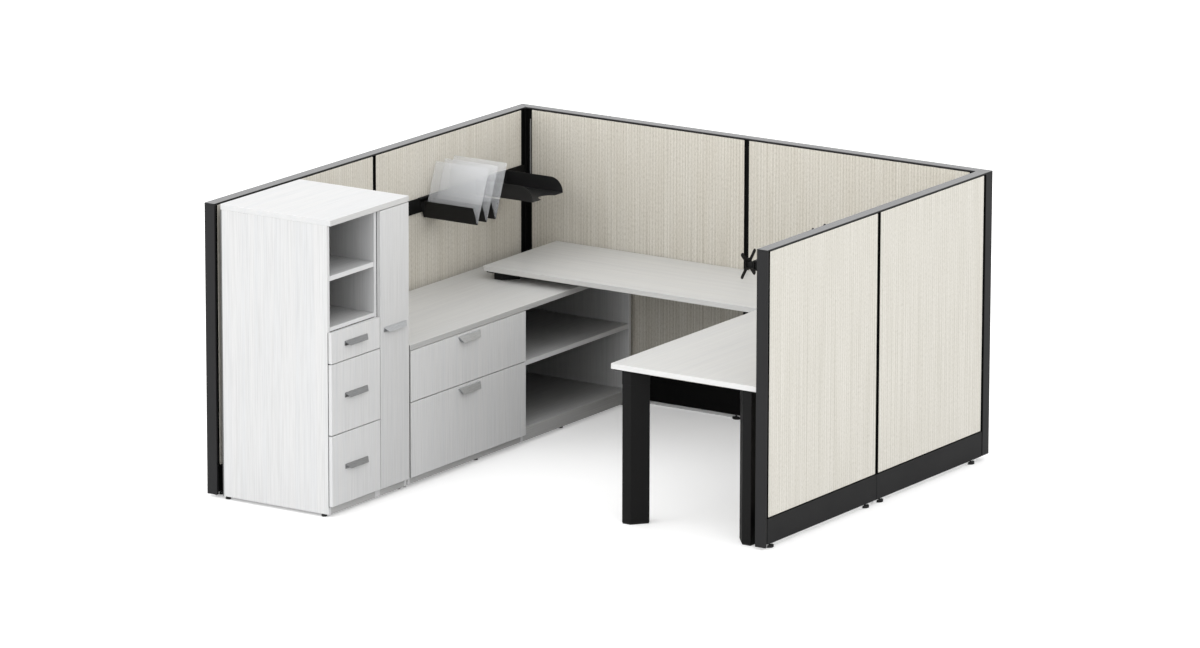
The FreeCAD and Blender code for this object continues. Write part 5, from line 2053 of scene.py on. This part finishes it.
@dataclass
class RailGoods:
    """The accessory rail with the file sorter, its sheets and the paper tray."""

    finishes: Finishes
    rail_back: float = 54.0
    rail_top: float = 1074.0
    rail_radius: float = 0.7
    hanger_x: Span = (66.5, 69.0)
    hook_inset: float = 5.0
    hook_gap: float = 0.5
    hook_metal: float = 2.5
    hook_leaf: float = 14.0
    hook_slope: float = 1.2
    metal: float = 2.0
    near: float = -944.0
    count: int = 3
    pitch: float = 73.5
    reach: float = 365.0
    low: float = 981.0
    high: float = 1069.0
    end_cut: float = 27.0
    end_knee: float = 985.0
    band: float = 12.0
    fold: float = 7.0
    floor_lift: float = 0.3
    ridge: float = 0.4
    end_x: Span = (66.6, 69.0)
    end_inset: float = 0.4
    end_drop: float = 1.0
    sheet: float = 2.0
    sheet_top: float = 1228.0
    sheet_gap: float = 1.0
    tray_y: Span = (-481.0, -231.0)
    tray_x: float = 384.0
    tray_z: float = 1008.5
    tray_rise: float = 69.5
    tray_lap: float = 0.6
    tray_edge: Ease = Ease(0.5)
    notch_half: float = 56.0
    notch_depth: float = 42.0
    notch_chords: int = 20
    bend: Span = (18.0, 22.0)
    bend_end: float = 74.0
    bend_chords: int = 16

    def build(self) -> None:
        """Make the rail and what hangs on it."""
        eased_copy("accessory_rail", "wall_rail", self.rail_radius, self.finishes.shadow, STATION)
        self._sorter()
        self._sheets()
        self._tray()

    def _hook(self, stock: Stock, y: Span, low: float) -> None:
        """A plate in front of the rail with a hook over its leaf.

        Args:
            stock: The mesh that takes it.
            y: The two ends of the plate.
            low: Its lower edge.
        """
        back, top, m = self.rail_back + self.hook_inset, self.rail_top + self.hook_gap, self.hook_metal
        x0, x1 = self.hanger_x
        leaf, slope = top - self.hook_leaf, self.hook_slope
        outline = [(x0, low), (x1, low), (x1, top + m - slope), (x1 - slope, top + m), (back, top + m),
                   (back, leaf), (back + m, leaf), (back + m, top), (x0, top)]
        stock.prism([spot(x, y[0], z) for x, z in outline], Vector((0, (y[1] - y[0]) * MM, 0)), Ease(0.4, 1))

    def _leaf(self, stock: Stock, foot: float, head: float, z: Span) -> None:
        """One leaning wall of a trough.

        Args:
            stock: The mesh that takes it.
            foot: The near side of its lower edge.
            head: The near side of its upper edge.
            z: Its lower and its upper edge.
        """
        x0, x1, (low, high) = self.hanger_x[1], self.reach, z
        corners = [(x0, low), (x1, low), (x1, high), (x0 + self.end_cut, high), (x0, self.end_knee)]
        lean = (head - foot) / (high - low)
        sides = (foot, foot + self.metal)
        stock.loft([[spot(x, side + lean * (h - low), h) for x, h in corners] for side in sides],
                   Ease(0.35, 1))

    def _sorter(self) -> None:
        """Three troughs of folded sheet on one hanger."""
        stock = Stock()
        m, half = self.metal, self.fold / 2
        z = within((self.low, self.high), m)
        x = (self.hanger_x[1], self.reach)
        rim = self.high - self.end_drop
        for i in range(self.count):
            near = self.near + i * self.pitch
            middle, far = near + self.pitch / 2, near + self.pitch
            low_y = about(middle, half)
            stock.box(x, low_y, (self.low, z[0] + self.floor_lift), Ease(0.7))
            self._leaf(stock, low_y[0], near, z)
            self._leaf(stock, low_y[1] - m, far - m, z)
            if i:
                stock.box((x[0] + self.end_cut, x[1]), about(near, m), (z[1] - self.ridge, self.high))
            outline = [(near + self.end_inset, rim), (low_y[0], self.low), (low_y[1], self.low),
                       (far - self.end_inset, rim)]
            stock.prism([spot(self.end_x[0], a, h) for a, h in outline],
                        Vector(((self.end_x[1] - self.end_x[0]) * MM, 0, 0)), Ease(0.3, 1))
        self._hook(stock, (self.near, self.near + self.count * self.pitch), self.high - self.band)
        stock.place("sorter_troughs", [self.finishes.black], "sorter", "black_metal", "file_sorter")

    def _sheets(self) -> None:
        """Three frosted sheets that lean in the troughs."""
        stock = Stock()
        low, top, t = self.low + self.metal, self.sheet_top, self.sheet
        x0, x1 = self.hanger_x[1] + self.sheet_gap, self.reach
        for i in range(self.count):
            middle = self.near + (i + 0.5) * self.pitch
            foot = middle + self.fold / 2 - self.metal - t
            rest = middle + self.pitch / 2 - self.metal - t
            head = foot + (rest - foot) * (top - low) / (self.high - low)
            stock.hexahedron([spot(x, y + side, h) for y, h in ((foot, low), (head, top))
                              for x, side in ((x0, 0.0), (x1, 0.0), (x1, t), (x0, t))], Ease(0.4))
        stock.place("frosted_sheets", [self.finishes.frosted], "sorter", "frosted", "sorter_dividers")

    def _tray(self) -> None:
        """The paper tray with rounded sides and a finger notch."""
        stock = Stock()
        (y0, y1), m = self.tray_y, self.metal
        x0, x1 = self.hanger_x[1], self.tray_x
        middle, half = (y0 + y1) / 2, self.notch_half
        notch = arc_through((x1, middle - half), (x1 - self.notch_depth, middle), (x1, middle + half),
                            self.notch_chords)
        outline = [(x0, y0), (x1, y0), *notch, (x1, y1), (x0, y1)]
        stock.prism([spot(x, y, self.tray_z) for x, y in outline], UP * (m * MM), self.tray_edge)
        low, high = self.tray_z + m, self.tray_z + self.tray_rise
        bend = arc_through((x1, low), (x1 - self.bend[0], high - self.bend[1]), (x1 - self.bend_end, high),
                           self.bend_chords)
        side = [(x0, high), (x0, low - self.tray_lap), *bend]
        for y in (y0, y1 - m):
            stock.prism([spot(x, y, z) for x, z in side], Vector((0, m * MM, 0)), self.tray_edge)
        self._hook(stock, self.tray_y, self.tray_z)
        stock.place("paper_tray_shell", [self.finishes.satin], "tray", "black_metal", "paper_tray")


def arc_through(a: Span, b: Span, c: Span, steps: int) -> list[Span]:
    """Points on the circle through three points.

    Args:
        a: Where the arc starts.
        b: A point on its way.
        c: Where it ends.
        steps: The chords along it.

    Returns:
        The points from start to end.
    """
    (ax, ay), (bx, by), (cx, cy) = a, b, c
    aa, bb, cc = (x * x + y * y for x, y in (a, b, c))
    d = 2 * (ax * (by - cy) + bx * (cy - ay) + cx * (ay - by))
    ux = (aa * (by - cy) + bb * (cy - ay) + cc * (ay - by)) / d
    uy = (aa * (cx - bx) + bb * (ax - cx) + cc * (bx - ax)) / d
    r = math.hypot(ax - ux, ay - uy)
    first, way, last = (math.atan2(y - uy, x - ux) for x, y in (a, b, c))
    full = 2 * math.pi
    sweep = (last - first) % full
    if (way - first) % full > sweep:
        sweep -= full
    turns = (first + sweep * i / steps for i in range(steps + 1))
    return [(ux + r * math.cos(turn), uy + r * math.sin(turn)) for turn in turns]


@dataclass
class MonitorArm:
    """The dual monitor arm: post, links, knuckles and heads with their caps."""

    finishes: Finishes
    post_radius: float = 1.2
    radii: tuple[tuple[str, float], ...] = (
        ("inner_link", 2.6), ("outer_link", 2.6), ("knuckle", 0.9), ("head", 0.5))

    def build(self) -> None:
        """Make the arm's pieces from eased copies of its parts."""
        black = self.finishes.black
        eased_copy("monitor_arm_post", "arm_post", self.post_radius, black, STATION)
        for side in ("left", "right"):
            for part, radius in self.radii:
                node = f"{side}_arm_{part}"
                eased_copy(node, node + "_shell", radius, black, f"{side}_{part}")


@dataclass(frozen=True)
class Studio:
    """The camera of the photograph, the lamps, the floor and the white surroundings."""

    azimuth: float = 33.490
    elevation: float = 13.794
    roll: float = 0.1258
    lens: float = 229.47
    sensor: float = 36.0
    sight: float = 300.0
    eye: tuple[float, float, float] = (18.40205, -27.82685, 8.90282)
    sky_low: float = 2.3
    sky_high: float = 1.35
    lamps: tuple[tuple[str, float, tuple[float, float, float]], ...] = (
        ("key", 0.85, (-0.65, -0.7, 0.3)), ("side", 0.4, (0.93, -0.3, 0.22)))
    lamp_spread: float = 60.0
    floor_size: float = 60.0
    floor_white: float = 0.55
    floor_seen: float = 1.22
    floor_glow: float = 0.32

    def build(self) -> None:
        """Set up everything round the object."""
        self._camera()
        self._lamps()
        self._sky()
        self._floor()
        bpy.context.scene.view_settings.view_transform = "Standard"

    def _camera(self) -> None:
        """The camera as it was fitted to the photograph."""
        data = bpy.data.cameras.new("camera")
        data.sensor_width = self.sensor
        data.lens = self.lens
        data.clip_end = self.sight
        camera = bpy.data.objects.new("camera", data)
        a, e, r = (math.radians(v) for v in (self.azimuth, self.elevation, self.roll))
        ahead = Vector((-math.sin(a) * math.cos(e), math.cos(a) * math.cos(e), -math.sin(e)))
        right = Vector((math.cos(a), math.sin(a), 0.0))
        up = right.cross(ahead)
        right, up = right * math.cos(r) + up * math.sin(r), up * math.cos(r) - right * math.sin(r)
        turn = Matrix((right, up, -ahead)).transposed().to_4x4()
        camera.matrix_world = Matrix.Translation(Vector(self.eye)) @ turn
        bpy.context.scene.collection.objects.link(camera)
        bpy.context.scene.camera = camera

    def _lamps(self) -> None:
        """Two low soft lamps."""
        for name, energy, aim in self.lamps:
            data = bpy.data.lights.new(name, "SUN")
            data.energy = energy
            data.angle = math.radians(self.lamp_spread)
            lamp = bpy.data.objects.new(name, data)
            lamp.rotation_euler = Vector(aim).to_track_quat("Z", "Y").to_euler()
            bpy.context.scene.collection.objects.link(lamp)

    def _sky(self) -> None:
        """A white sky that lights the scene more from the horizon than from above."""
        world = bpy.data.worlds.new("sky")
        world.use_nodes = True
        bench = NodeBench(world.node_tree)
        rays = bench.add("ShaderNodeLightPath").outputs
        seen = bench.math("MAXIMUM", rays["Is Camera Ray"], rays["Is Transmission Ray"])
        shiny = bench.math("MAXIMUM", seen, rays["Is Glossy Ray"])
        place = bench.add("ShaderNodeTexCoord").outputs["Generated"]
        height = bench.add("ShaderNodeSeparateXYZ", {0: place}).outputs["Z"]
        grade = bench.spread(height, floor=self.sky_low, top=self.sky_high)
        back = bench.add("ShaderNodeBackground", {"Strength": bench.spread(shiny, floor=grade)})
        bench.add("ShaderNodeOutputWorld", {0: back.outputs[0]})
        bpy.context.scene.world = world

    def _floor(self) -> None:
        """A wide white floor that keeps the object's shadow."""
        half = self.floor_size / 2
        mesh = bpy.data.meshes.new("floor")
        mesh.from_pydata([(-half, -half, 0), (half, -half, 0), (half, half, 0), (-half, half, 0)], [],
                         [(0, 1, 2, 3)])
        floor = bpy.data.objects.new("floor", mesh)
        bpy.context.scene.collection.objects.link(floor)
        material = bpy.data.materials.new("floor")
        material.use_nodes = True
        bench = NodeBench(material.node_tree)
        seen = bench.add("ShaderNodeLightPath").outputs["Is Camera Ray"]
        white = bench.spread(seen, floor=self.floor_white, top=self.floor_seen)
        matt = bench.add("ShaderNodeBsdfDiffuse", {"Color": white})
        glow = bench.add("ShaderNodeEmission")
        mix = bench.add("ShaderNodeMixShader",
                        {0: bench.times(seen, self.floor_glow), 1: matt.outputs[0], 2: glow.outputs[0]})
        bench.add("ShaderNodeOutputMaterial", {0: mix.outputs[0]})
        mesh.materials.append(material)


def write_sizes() -> None:
    """Bring the view layer up to date."""
    bpy.context.view_layer.update()


def main() -> None:
    """Build the studio and every sub-assembly in order."""
    logging.basicConfig(level=logging.INFO, format="%(name)s: %(message)s")
    Studio().build()
    finishes = Finishes()
    fittings = Fittings(finishes)
    walls = PanelWalls(finishes, fittings)
    tower = Tower(finishes, fittings)
    credenza = Credenza(finishes, fittings)
    walls.build()
    tower.build()
    credenza.build()
    CabinetSteel(finishes, fittings, tower, credenza).build()
    Worksurfaces(finishes, fittings, walls, tower, credenza).build()
    RailGoods(finishes).build()
    MonitorArm(finishes).build()
    write_sizes()


if __name__ == "__main__":
    main()
